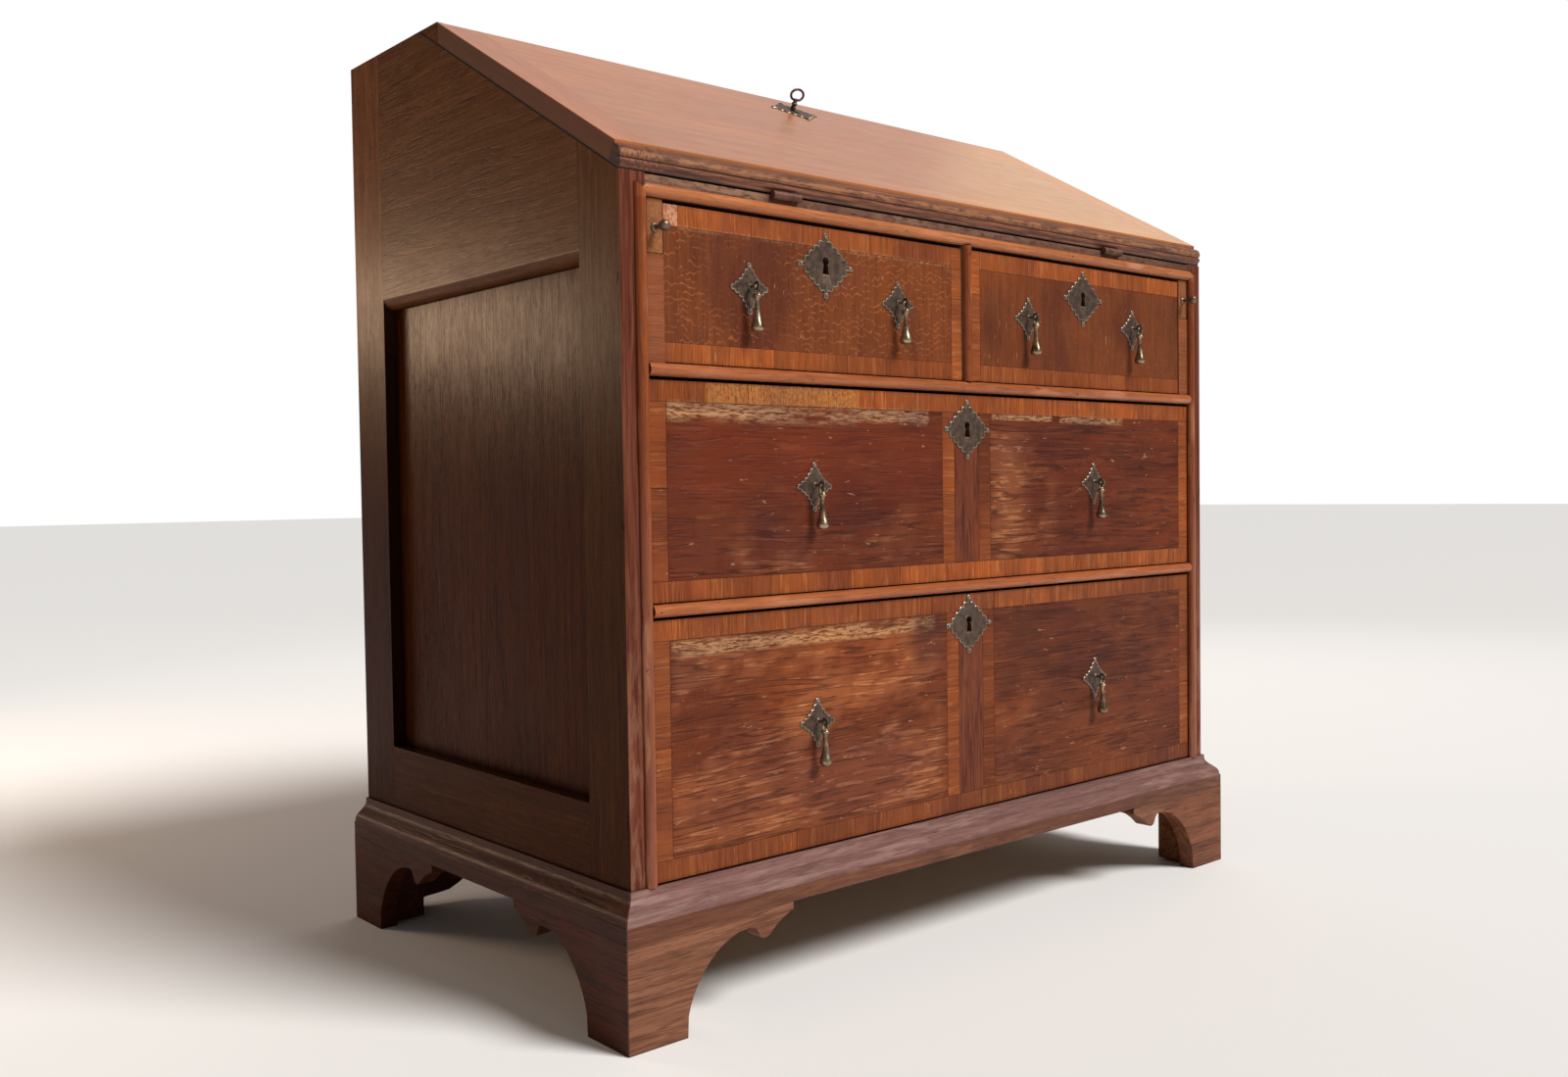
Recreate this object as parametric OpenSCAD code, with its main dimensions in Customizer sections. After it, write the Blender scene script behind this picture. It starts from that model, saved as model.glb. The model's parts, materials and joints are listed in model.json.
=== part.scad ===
/* [Case] */
// Width of the case over its two sides
case_w = 920; // [900:1:960]
// Depth of the case from drawer fronts to back
case_d = 548; // [540:1:570]
// Height of the flat top above the floor
desk_h = 1002; // [996:1:1012]
// Depth of the flat top behind the fall
flat_d = 216; // [210:1:222]
// Height of the writing surface above the floor
writing_h = 787; // [784:1:788]
// Thickness of the side frames
side_t = 28; // [27:1:30]
// Width of the front stile of each side frame
stile_front = 66; // [58:1:76]
// Width of the back stile of each side frame
stile_back = 72; // [64:1:80]
// Height where the upper rail of a side frame ends
side_rail_z = 714; // [690:1:740]
// Height of the upper edge of a side frame's lower rail
side_foot_z = 211; // [200:1:230]
// Depth of the sunk side panels below the frame
panel_sink = 15; // [12:0.5:16]

/* [Fall and top] */
// Thickness of the fall
fall_t = 20; // [19:0.5:21]
// Width of the cleat at each end of the fall
cleat_w = 50; // [40:1:60]
// Thickness of the flat top board
top_t = 20; // [18:1:22]
// Distance from the axis of the fall hinges to the case front
hinge_out = 2.3; // [2:0.1:2.6]
// Distance of each fall hinge from the middle
hinge_x = 265; // [230:1:300]
// Length of each hinge barrel
hinge_len = 35; // [30:1:42]
// Outside radius of each hinge barrel
hinge_r = 4.3; // [4:0.1:4.5]

/* [Drawer rails] */
// Height of the underside of the rail beneath the fall
top_rail_z = 767; // [766:0.5:767]
// Height of the underside of the upper drawer rail
mid_rail_z = 606; // [596:1:612]
// Height of the underside of the lower drawer rail
low_rail_z = 386; // [370:1:392]
// Thickness of the drawer rails, and width of the half-round beads
rail_t = 12; // [11:0.5:13]
// Depth of the drawer rails from front to back
rail_d = 40; // [36:1:50]

/* [Drawers] */
// Thickness of the drawer fronts
front_t = 20; // [19:0.5:22]
// Set-back of the drawer fronts behind the case front
set_y = 1; // [0.5:0.1:1.5]
// Thickness of the drawer sides and backs
lining_t = 9; // [8:0.5:10]
// Distance of the outer handles of the small drawers from the middle
small_pull_out = 310.5; // [300:0.5:320]
// Distance of the inner handles of the small drawers from the middle
small_pull_in = 107.5; // [95:0.5:120]
// Distance of the long drawer handles from the middle
long_pull = 229.5; // [215:0.5:245]
// Height of the small drawer handles
small_pull_z = 694; // [688:0.5:700]
// Height of the upper long drawer handles
upper_pull_z = 503.5; // [490:0.5:515]
// Height of the lower long drawer handles
lower_pull_z = 266.5; // [250:0.5:280]

/* [Lopers] */
// Width of each loper
loper_w = 18; // [16:0.5:18]
// Height of each loper
loper_h = 49.5; // [46:0.5:52]
// Length of each loper
loper_len = 470; // [440:1:490]
// Length of the brass knob on each loper
knob_len = 20; // [19:0.5:22]

/* [Base] */
// Height of the bracket feet
foot_h = 100; // [96:1:104]
// Height of the base moulding
base_h = 41; // [38:1:42]
// Projection of the base moulding from the case
base_out = 18.4; // [17:0.2:18.8]
// Thickness of the foot brackets
bracket_t = 20; // [16:1:24]

/* [Brasses] */
// Thickness of the pierced brass plates
plate_t = 1.3; // [1:0.1:1.6]
// Distance of each drop's staple from the drawer front
staple_out = 11.5; // [11:0.1:12.5]
// Distance from the top edge of the fall to its key
key_down = 54; // [50:0.5:60]

/* [Hidden] */
$fn = 48;

// Half width of the case and of the space between its sides
hw = case_w / 2;
ix = hw - side_t;
// The case front stands here, so that the desk is centred front to back
y_front = -(case_d - knob_len) / 2;
// Front edge of the flat top, and the slope of the fall
y_flat = case_d - flat_d;
yp = -hinge_out;
run = y_flat - yp;
rise = desk_h - writing_h;
slope = acos(fall_t / sqrt(run * run + rise * rise)) - atan2(run, rise);
fall_v = fall_t / cos(slope);
fall_front = yp + 0.7;
fall_gap = 0.8;
// Slope-wise distance from the hinge axis to the upper edge of the fall and to its key
slope_end = run * cos(slope) + rise * sin(slope);
key_s = slope_end - key_down;
// Height of the top of the base moulding and of the bottom board
base_top = foot_h + base_h;
floor_z = base_top;
back_t = 10;
// Drawer fronts: upper edges and bottom edges
small_top = top_rail_z - 3.5;
small_bot = mid_rail_z + rail_t + 1;
upper_top = mid_rail_z - 3;
upper_bot = low_rail_z + rail_t + 1;
lower_top = low_rail_z - 2.5;
lower_bot = base_top + 1;
// Loper runs between its housing wall and the side
loper_x = ix - 1.5 - loper_w;
loper_z = top_rail_z - 0.5 - loper_h;
wall_x = loper_x - 0.6;
small_x1 = loper_x - 0.9;
small_x0 = rail_t / 2 + 0.8;
lock_x = (small_x0 + small_x1) / 2 + 1.5;
// Escutcheon heights, each level with its lock
small_esc = small_top - 38.5;
upper_esc = upper_top - 38;
lower_esc = lower_top - 34.5;
back_y = case_d - back_t - 2;
staple_y = set_y - staple_out;
lock_w = 56;
bolt_travel = 10;
inner_y = y_flat + 3;

function inner_z(y) = writing_h + (y - yp) * tan(slope);
function outer_z(y) = inner_z(y) + fall_v;
function bez(a, b, c, d, t) =
  a * pow(1 - t, 3) + b * 3 * t * pow(1 - t, 2) + c * 3 * t * t * (1 - t) + d * t * t * t;
function arc(c, r, a0, a1, n) =
  [for (i = [0:n]) c + r * [cos(a0 + (a1 - a0) * i / n), sin(a0 + (a1 - a0) * i / n)]];
// Outline of a bracket foot: distance from the corner, height
spur = [[147.5, 84.7], [150.3, 81.5]];
function bracket_curve(k) = concat(
  [[66, 0]],
  [for (i = [0:9]) bez([67, 20], [72, 44], [98, 86], [142, 86], i / 9)],
  spur,
  arc([160, 80.5], 8.6, 190, 322, 6),
  [[174.5, 81.5], [184, 87.2], [193.5, 91.6], [196.5, 92]]);

module place() translate([0, y_front, 0]) children();
module flip(s) mirror([s < 0 ? 1 : 0, 0, 0]) children();
// An outline in depth and height, drawn out sideways from x0 by w
module yz(x0, w) translate([x0, 0, 0]) rotate([90, 0, 90]) linear_extrude(w) children();
// An outline in width and height, drawn out forwards from y0 by t
module xz(y0, t) translate([0, y0, 0]) rotate([90, 0, 0]) linear_extrude(t) children();
// The fall's own frame: hinge axis, up the slope, and outwards from its inner face
module on_slope() translate([0, yp, writing_h]) rotate([slope, 0, 0]) children();
module box(x0, x1, y0, y1, z0, z1) translate([x0, y0, z0]) cube([x1 - x0, y1 - y0, z1 - z0]);

// ---- Sides ----
module groove() box(-hw + panel_sink - 0.05, -hw + panel_sink + 9.05, stile_front - 8.1,
  case_d - stile_back + 8.1, side_foot_z - 8.1, side_rail_z + 8.1);
module front_stile() difference() {
  yz(-hw, side_t) polygon([[0, foot_h], [stile_front, foot_h],
    [stile_front, inner_z(stile_front) - 0.4], [0, inner_z(0) - 0.4]]);
  groove();
}
module back_stile() difference() {
  box(-hw, -ix, case_d - stile_back, case_d, foot_h, desk_h);
  groove();
  box(-ix - 8, -ix + 1, case_d - back_t, case_d + 1, foot_h + 4, desk_h - top_t + 1);
  box(-ix - 20, -ix + 1, y_flat - 1, case_d + 1, desk_h - top_t, desk_h + 1);
}
module top_rail() difference() {
  yz(-hw, side_t) polygon([[stile_front, side_rail_z], [case_d - stile_back, side_rail_z],
    [case_d - stile_back, desk_h], [y_flat, desk_h], [y_flat, inner_z(y_flat) - 0.4],
    [stile_front, inner_z(stile_front) - 0.4]]);
  groove();
  box(-ix - 20, -ix + 1, y_flat - 1, case_d + 1, desk_h - top_t, desk_h + 1);
  difference() {
    box(-hw - 1, -hw + 12, 0, case_d, side_rail_z - 1, side_rail_z + 12);
    translate([-hw + 12, 0, side_rail_z + 12]) rotate([-90, 0, 0]) cylinder(r = 12, h = case_d);
  }
}
module low_rail() difference() {
  box(-hw, -ix, stile_front, case_d - stile_back, foot_h, side_foot_z);
  groove();
  translate([-hw, 0, side_foot_z - 12]) rotate([0, -45, 0])
    translate([-20, 0, 0]) cube([20, case_d, 40]);
}
module side_frame() {
  front_stile();
  back_stile();
  top_rail();
  low_rail();
}
module left_side_frame() place() color("#4a2c17") side_frame();
module right_side_frame() place() color("#4a2c17") flip(-1) side_frame();
module panel() box(-hw + panel_sink, -hw + panel_sink + 9, stile_front - 8,
  case_d - stile_back + 8, side_foot_z - 8, side_rail_z + 8);
module side_panels() place() color("#4b301a") {
  panel();
  flip(-1) panel();
}

// ---- Carcase boards ----
module top_board() place() color("#7a4a26") difference() {
  box(-ix - 20, ix + 20, y_flat, case_d, desk_h - top_t, desk_h);
  on_slope() box(-11, 11, slope_end - 20, slope_end + 6, 3.4, 10);
}
module back_boards() place() color("#6b4a2c") {
  n = 5;
  w = (2 * ix + 15.6) / n;
  for (i = [0:n - 1])
    box(-ix - 7.8 + w * i + 0.3, -ix - 7.8 + w * (i + 1) - 0.3,
      case_d - back_t, case_d, foot_h + 4.2, desk_h - top_t - 0.2);
}
module writing_board() place() color("#8a5a30")
  box(-ix, ix, rail_d, case_d - back_t - 1, top_rail_z, writing_h);
module strike(x, z) box(x - 9, x + 9, set_y + 12, set_y + 18, z - 1, z + 9);
module hinge_gain(x) {
  box(x - hinge_len / 2 - 0.2, x + hinge_len / 2 + 0.2, -1, 30.2, writing_h - 1.7, writing_h + 1);
  translate([x - hinge_len / 2 - 0.3, yp, writing_h]) rotate([0, 90, 0])
    cylinder(r = hinge_r + 0.4, h = hinge_len + 0.6);
}
module front_rails() place() color("#5c3020") {
  difference() {
    box(-ix, ix, 0, rail_d, top_rail_z, writing_h);
    hinge_gain(-hinge_x);
    hinge_gain(hinge_x);
    strike(-lock_x, top_rail_z);
    strike(lock_x, top_rail_z);
  }
  difference() {
    box(-ix, ix, 0, rail_d, mid_rail_z, mid_rail_z + rail_t);
    strike(0, mid_rail_z);
  }
  difference() {
    box(-ix, ix, 0, rail_d, low_rail_z, low_rail_z + rail_t);
    strike(0, low_rail_z);
  }
  box(-ix, ix, 0, 20.5, foot_h, base_top - 1);
}
module centre_partition() place() color("#5c3020")
  box(-rail_t / 2, rail_t / 2, 0, back_y, mid_rail_z + rail_t, top_rail_z);
module dust_boards() place() color("#7d5a36") {
  box(-ix, ix, rail_d, back_y, mid_rail_z + 3, mid_rail_z + rail_t);
  box(-ix, ix, rail_d, back_y, low_rail_z + 3, low_rail_z + rail_t);
}
module bottom_board() place() color("#7d5a36")
  box(-ix, ix, 20.5, case_d - back_t - 1, floor_z - 18, floor_z);

// ---- Beads round the drawers ----
module half_round() intersection() {
  circle(r = rail_t / 2);
  translate([-rail_t, -rail_t]) square([2 * rail_t, rail_t]);
}
module bead_x(x0, x1, z) translate([x0, 0, z]) rotate([90, 0, 90])
  linear_extrude(x1 - x0) rotate(-90) half_round();
module bead_z(x, z0, z1) translate([x, 0, z0]) linear_extrude(z1 - z0) half_round();
module mitre_cut() translate([-ix, -20, top_rail_z]) rotate([0, 45, 0])
  translate([-60, 0, 0]) cube([120, 40, 60]);
module bead_mouldings() place() color("#9a4f22") {
  h = rail_t / 2;
  for (s = [-1, 1]) flip(s) difference() {
    bead_z(ix + h, base_top, top_rail_z + rail_t);
    flip(-1) mitre_cut();
  }
  difference() {
    bead_x(-ix - rail_t, ix + rail_t, top_rail_z + h);
    for (s = [-1, 1]) flip(s) translate([-ix, -20, top_rail_z])
      rotate([0, 45, 0]) translate([-60, 0, -60]) cube([120, 40, 60]);
  }
  bead_x(-ix, ix, mid_rail_z + h);
  bead_x(-ix, ix, low_rail_z + h);
  bead_z(0, mid_rail_z + rail_t, top_rail_z);
}

// ---- Base moulding and bracket feet ----
ogee = concat([[0, 0], [base_out, 0], [base_out, 14.5], [base_out - 0.9, 15]],
  [for (i = [0:10]) [base_out - 1.2 - (base_out - 4.4) * (i / 10 - sin(36 * i) / (2 * PI)),
    15.2 + (base_h - 17.4) * i / 10]],
  [[3.2, base_h], [0, base_h]]);
module base_strip(len) rotate([90, 0, 90]) linear_extrude(len) mirror([1, 0]) polygon(ogee);
// Half-space on the front side of the left mitre
module mitre_front(h) linear_extrude(h) polygon([[-hw - 60, -60], [0, -60], [0, 0.001],
  [-hw + 60, 60], [-hw, 0]]);
module base_moulding() place() color("#6a4030") {
  translate([0, 0, foot_h]) intersection() {
    translate([-hw - base_out, 0, 0]) base_strip(case_w + 2 * base_out);
    union() {
      linear_extrude(base_h) polygon([[-hw - 40, -40], [hw + 40, -40], [hw, 0], [-hw, 0]]);
    }
  }
  for (s = [-1, 1]) flip(s) translate([0, 0, foot_h]) intersection() {
    translate([hw, -base_out, 0]) rotate([90, 0, 180])
      linear_extrude(case_d + base_out) mirror([1, 0]) polygon(ogee);
    linear_extrude(base_h)
      polygon([[hw, 0], [hw + 40, -40], [hw + 40, case_d], [hw, case_d]]);
  }
}
module bracket_2d(len) polygon(concat([[0, 0]], bracket_curve(0), [[196.5, foot_h], [0, foot_h]]));
// Front corner, as on the left: the corner stands at the outer faces of the moulding
module front_foot() {
  cx = -hw - base_out;
  cy = -base_out;
  intersection() {
    translate([cx, cy + bracket_t, 0]) rotate([90, 0, 0]) linear_extrude(bracket_t)
      bracket_2d(0);
    linear_extrude(foot_h)
      polygon([[cx, cy], [cx + 300, cy], [cx + 300, cy + bracket_t], [cx + bracket_t, cy + bracket_t]]);
  }
  intersection() {
    translate([cx, cy, 0]) rotate([90, 0, 90]) linear_extrude(bracket_t) bracket_2d(0);
    linear_extrude(foot_h)
      polygon([[cx, cy], [cx + bracket_t, cy + bracket_t], [cx + bracket_t, cy + 300], [cx, cy + 300]]);
  }
  box(cx + bracket_t, cx + bracket_t + 38, cy + bracket_t, cy + bracket_t + 38, 3, foot_h - 0.2);
}
module back_foot() {
  cx = -hw - base_out;
  difference() {
    translate([cx, case_d, 0]) rotate([90, 0, 90]) linear_extrude(bracket_t)
      mirror([1, 0]) bracket_2d(0);
  }
  xz(case_d, bracket_t) polygon([[cx + bracket_t, 0], [cx + 50, 0], [cx + 59, 3], [cx + 69, 9],
    [cx + 80, 12.5], [cx + 96, 13.5], [cx + 111, 15], [cx + 124, 21], [cx + 142, 32],
    [cx + 166, 51], [cx + 188, 71], [cx + 205, 88], [cx + 212, foot_h], [cx + bracket_t, foot_h]]);
  box(cx + bracket_t, cx + bracket_t + 38, case_d - bracket_t - 38, case_d - bracket_t,
    3, foot_h - 0.2);
}
module front_left_foot() place() color("#6e4326") front_foot();
module front_right_foot() place() color("#6e4326") flip(-1) front_foot();
module back_left_foot() place() color("#5f3c22") back_foot();
module back_right_foot() place() color("#5f3c22") flip(-1) back_foot();

// ---- Lopers and their housings ----
module housing() {
  box(wall_x - 9.6, wall_x, set_y + front_t + 1.5, back_y, mid_rail_z + rail_t, top_rail_z);
  box(wall_x, ix, set_y + front_t + 1.5, back_y - 40, loper_z - 12, loper_z - 0.5);
  box(loper_x - 0.4, ix, 0, set_y + front_t + 1.5, mid_rail_z + rail_t, loper_z - 0.5);
}
module loper_housings() place() color("#8a4a24") {
  housing();
  flip(-1) housing();
}
module loper() box(loper_x, loper_x + loper_w, 0, loper_len, loper_z, loper_z + loper_h);
module knob_turned(len) rotate([90, 0, 0]) rotate_extrude() polygon([[0, 0], [4.2, 0],
  [4.2, 1.2], [2.6, 2.4], [2.1, len * 0.3], [2.3, len * 0.42], [3.6, len * 0.52],
  [4.8, len * 0.64], [5.1, len * 0.76], [4.5, len * 0.88], [3, len * 0.96], [0, len]]);
module loper_knob() translate([loper_x + loper_w / 2, 0, loper_z + loper_h * 0.46])
  knob_turned(knob_len);
module left_loper() place() color("#b5652a") flip(-1) loper();
module right_loper() place() color("#b5652a") loper();
module left_loper_knob() place() color("#8c7a52") flip(-1) loper_knob();
module right_loper_knob() place() color("#8c7a52") loper_knob();

// ---- Fall ----
thumb = arc([fall_front + 9, outer_z(fall_front + 9) - 13.6], 9, 90, 180, 8);
fall_edge = concat([[fall_front + 9, outer_z(fall_front + 9)]], thumb,
  [[fall_front + 1.6, outer_z(fall_front) - 11.2]],
  arc([fall_front + 3.6, outer_z(fall_front) - 14.6], 3.2, 100, 250, 6),
  [[fall_front + 3.2, inner_z(fall_front + 3.2)]]);
module fall_2d() polygon(concat(fall_edge, [[y_flat - fall_gap, inner_z(y_flat - fall_gap)],
  [y_flat - fall_gap, outer_z(y_flat - fall_gap)]]));
module keyhole_2d() {
  circle(r = 3.7);
  polygon([[-2, 0], [2, 0], [4.1, -12.2], [-4.1, -12.2]]);
}
module fall_leaf_gain(x) on_slope() {
  box(x - hinge_len / 2 - 0.2, x + hinge_len / 2 + 0.2, -1, 30.2, -1, 1.7);
  translate([x - hinge_len / 2 - 0.3, 0, 0]) rotate([0, 90, 0])
    cylinder(r = hinge_r + 0.4, h = hinge_len + 0.6);
}
module fall_board() place() color("#b9793f") {
  difference() {
    yz(-hw + cleat_w, case_w - 2 * cleat_w) fall_2d();
    fall_leaf_gain(-hinge_x);
    fall_leaf_gain(hinge_x);
    on_slope() {
      box(-36.2, 36.2, key_s - 30.2, slope_end - 14, -1, 1.7);
      box(-32.2, 32.2, key_s - 26.2, key_s + 37.2, -1, 11.2);
      box(-10.4, 10.4, key_s + 12, slope_end + 5, 3.7, 9.3);
      translate([0, key_s, 0]) linear_extrude(fall_t + 1) keyhole_2d();
    }
  }
  yz(-hw, cleat_w) fall_2d();
  yz(hw - cleat_w, cleat_w) fall_2d();
}
// Barrels: the case holds the outer two knuckles, the fall the middle one
knuckle = hinge_len / 3;
module case_leaf(x) {
  difference() {
    union() {
      box(x - hinge_len / 2, x + hinge_len / 2, yp, 30, writing_h - 1.6, writing_h);
      for (s = [-1, 1]) translate([x + s * knuckle - knuckle / 2, yp, writing_h])
        rotate([0, 90, 0]) cylinder(r = hinge_r, h = knuckle);
    }
    translate([x - knuckle / 2 - 0.15, yp, writing_h]) rotate([0, 90, 0])
      cylinder(r = hinge_r + 0.4, h = knuckle + 0.3);
  }
  translate([x - hinge_len / 2, yp, writing_h]) rotate([0, 90, 0])
    cylinder(r = 1.6, h = hinge_len);
}
module case_hinge_leaves() place() color("#5a3325") {
  case_leaf(-hinge_x);
  case_leaf(hinge_x);
}
module fall_leaf(x) on_slope() difference() {
  union() {
    box(x - hinge_len / 2, x + hinge_len / 2, hinge_r + 0.5, 30, 0, 1.6);
    box(x - knuckle / 2, x + knuckle / 2, 0, hinge_r + 1, 0, 1.6);
    translate([x - knuckle / 2, 0, 0]) rotate([0, 90, 0]) cylinder(r = hinge_r, h = knuckle);
  }
  translate([x - knuckle, 0, 0]) rotate([0, 90, 0]) cylinder(r = 1.65, h = 2 * knuckle);
}
module fall_hinge_leaves() place() color("#5a3325") {
  fall_leaf(-hinge_x);
  fall_leaf(hinge_x);
}
module fall_lock() place() color("#54504a") on_slope() difference() {
  union() {
    box(-36, 36, key_s - 30, slope_end - 14.2, 0, 1.6);
    box(-32, 32, key_s - 26, key_s + 37, 0, 11);
  }
  translate([0, key_s, 2.2]) cylinder(r = 9.6, h = 6.4);
  translate([0, key_s, 2.2]) linear_extrude(12) keyhole_2d();
  box(-10.2, 10.2, key_s + 8, key_s + 40, 3.9, 9.1);
}
module fall_bolt() place() color("#a8a296") on_slope()
  box(-9.8, 9.8, key_s + 11, slope_end - 10, 4.2, 8.8);
// Scalloped plate with a lobe at each corner, about its own middle
module scalloped_2d(a, b) {
  polygon([[a - 3, 0], [0, b - 3], [-a + 3, 0], [0, -b + 3]]);
  for (sx = [-1, 1]) for (sz = [-1, 1]) for (i = [1:4])
    translate([sx * (a - 2) * (1 - i / 5), sz * (b - 2) * i / 5]) circle(r = 4.3, $fn = 32);
  for (s = [-1, 1]) {
    translate([s * (a - 4.2), 0]) circle(r = 4.2, $fn = 32);
    translate([0, s * (b - 4.2)]) circle(r = 4.2, $fn = 32);
  }
}
module escutcheon_plate() {
  linear_extrude(plate_t) difference() {
    scalloped_2d(37.5, 33);
    translate([0, 4.6]) keyhole_2d();
  }
  for (s = [-1, 1]) {
    translate([s * 33.3, 0, 0]) cylinder(r = 1.7, h = plate_t + 0.9, $fn = 24);
    translate([0, s * 28.8, 0]) cylinder(r = 1.7, h = plate_t + 0.9, $fn = 24);
  }
}
module fall_escutcheon() place() color("#8b7b55") on_slope()
  translate([0, key_s - 4.6, fall_t]) escutcheon_plate();
module key() place() color("#3c3630") on_slope() translate([0, key_s, 0]) {
  translate([0, 0, 2.8]) rotate_extrude() polygon([[0, 0], [2.5, 0], [2.5, 20.2], [3.4, 21],
    [3.4, 22.2], [2.6, 23], [2.5, 24.6], [3.6, 25.4], [3.6, 26.8], [2.6, 27.8], [2.6, 31.2], [0, 31.2]]);
  box(-1.2, 1.2, -8.6, -1, 3, 8.2);
  translate([0, 1.8, 40]) rotate([90, 0, 0]) linear_extrude(3.6) difference() {
    union() {
      translate([-3, 0]) circle(r = 8.4);
      translate([3, 0]) circle(r = 8.4);
      translate([-3, -8.4]) square([6, 16.8]);
    }
    translate([-3, 0.4]) circle(r = 5.4);
    translate([3, 0.4]) circle(r = 5.4);
    translate([-3, -4.8]) square([6, 10.4]);
  }
}

// ---- Main drawers ----
// Dovetails of a side, pointing forward from the back of the drawer front
tail_len = front_t - 5;
module tails(x0, x1, z0, z1, n) for (i = [0:n - 1]) {
  p = (z1 - z0) / n;
  c = z0 + p * (i + 0.5);
  yb = set_y + front_t;
  yz(x0, x1 - x0) polygon([[yb + 0.01, c - p * 0.27], [yb + 0.01, c + p * 0.27],
    [yb - tail_len, c + p * 0.36], [yb - tail_len, c - p * 0.36]]);
}
module lock_recess(x, zt) {
  box(x - lock_w / 2 - 0.2, x + lock_w / 2 + 0.2, set_y + front_t - 10.2, set_y + front_t + 1,
    zt - 56.2, zt + 1);
}
module front_keyhole(x, z) xz(set_y + front_t, front_t + 1) translate([x, z]) keyhole_2d();
module drawer_lock(x, zt, ze) difference() {
  union() {
    box(x - lock_w / 2, x + lock_w / 2, set_y + front_t - 10, set_y + front_t + 0.8, zt - 56, zt);
  }
  box(x - 8.4, x + 8.4, set_y + 12.6, set_y + 17.4, zt - 30, zt + 1);
  xz(set_y + 12, 3) translate([x, ze]) keyhole_2d();
}
module drawer_bolt(x, zt) box(x - 8, x + 8, set_y + 13, set_y + 17, zt - 28, zt - 0.2);
module small_front() difference() {
  box(small_x0, small_x1, set_y, set_y + front_t, small_bot, small_top);
  tails(small_x0 - 1, small_x0 + 0.4 + lining_t, small_bot + 4, small_top - 6, 3);
  tails(wall_x - 10.4 - lining_t, wall_x - 10.4, small_bot + 4, small_top - 6, 3);
  lock_recess(lock_x, small_top);
  front_keyhole(lock_x, small_esc + 4.6);
}
module small_box() {
  za = small_bot - 0.4;
  zb = small_top - 4;
  yb = set_y + front_t;
  ye = back_y - 18;
  xa = small_x0 + 0.4;
  xb = wall_x - 10.4;
  for (x = [xa, xb - lining_t]) {
    box(x, x + lining_t, yb, ye, za, zb);
    tails(x, x + lining_t, small_bot + 4, small_top - 6, 3);
  }
  box(xa + lining_t, xb - lining_t, ye - lining_t, ye, za + 8, zb);
  box(xa + lining_t, xb - lining_t, yb, ye, za + 1, za + 7.5);
}
module long_front(zb, zt, ze, n) difference() {
  box(-ix + 0.8, ix - 0.8, set_y, set_y + front_t, zb, zt);
  for (s = [-1, 1]) flip(s) tails(ix - 1.2 - lining_t, ix + 1, zb + 4, zt - 6, n);
  lock_recess(0, zt);
  front_keyhole(0, ze + 4.6);
}
module long_box(zb, zt, n, drop) {
  yb = set_y + front_t;
  ye = back_y - 18;
  xb = ix - 1.2;
  za = zb - drop;
  for (s = [-1, 1]) flip(s) {
    box(xb - lining_t, xb, yb, ye, za, zt - 4);
    tails(xb - lining_t, xb, zb + 4, zt - 6, n);
  }
  box(-xb + lining_t, xb - lining_t, ye - lining_t, ye, za + 8, zt - 4);
  box(-xb + lining_t, -0.2, yb, ye, za + 1, za + 7.5);
  box(0.2, xb - lining_t, yb, ye, za + 1, za + 7.5);
}

// ---- Drop handles ----
module handle_2d() {
  polygon([[0, 21], [-17, 1], [-6, -9], [-2.6, -21], [2.6, -21], [6, -9], [17, 1]]);
  for (s = [-1, 1]) {
    translate([0, s * 21]) circle(r = 4, $fn = 32);
    translate([s * 20, 0]) circle(r = 4, $fn = 32);
    translate([s * 5.2, 15]) circle(r = 3.8, $fn = 32);
    translate([s * 10, 9]) circle(r = 4.6, $fn = 32);
    translate([s * 14.5, 3]) circle(r = 4.4, $fn = 32);
    translate([s * 13, -3.4]) circle(r = 3.6, $fn = 32);
    translate([s * 6.4, -7.4]) circle(r = 4, $fn = 32);
    translate([s * 3.2, -14]) circle(r = 3, $fn = 32);
  }
}
module on_front(x, z) translate([x, set_y, z]) rotate([90, 0, 0]) children();
module ring(major, tube) rotate_extrude() translate([major, 0]) circle(r = tube, $fn = 24);
module handle_back(x, z) {
  on_front(x, z) {
    linear_extrude(plate_t) handle_2d();
    for (s = [-1, 1]) translate([0, s * 21, 0]) cylinder(r = 1.6, h = plate_t + 0.9, $fn = 24);
    translate([0, 2, 0]) cylinder(r = 2.2, h = staple_out - 4.6, $fn = 24);
    translate([0, 2, staple_out]) rotate([0, 90, 0]) ring(4.5, 1.25);
  }
}
module drop(x, z) translate([x, staple_y, z + 2]) {
  translate([0, 0, -4.5]) rotate([90, 0, 0]) ring(3.1, 1.35);
  rotate_extrude() polygon([[0, -7.9], [2.6, -8], [4.2, -8.8], [4.6, -10.2], [3.6, -11.6],
    [2.3, -12.6], [1.9, -15], [2, -20], [2.7, -26], [4, -31], [5.9, -35.5], [6.8, -38.5],
    [6.6, -41], [5.2, -43.2], [2.5, -44.2], [0, -44.4]]);
}
module brasses(xa, xb, zh, xe, ze) {
  handle_back(xa, zh);
  handle_back(xb, zh);
  on_front(xe, ze) escutcheon_plate();
}
brass = "#8b7b55";
drop_brass = "#b09a5c";
iron = "#54504a";
bolt_iron = "#a8a296";
lining = "#a27a4a";

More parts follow.
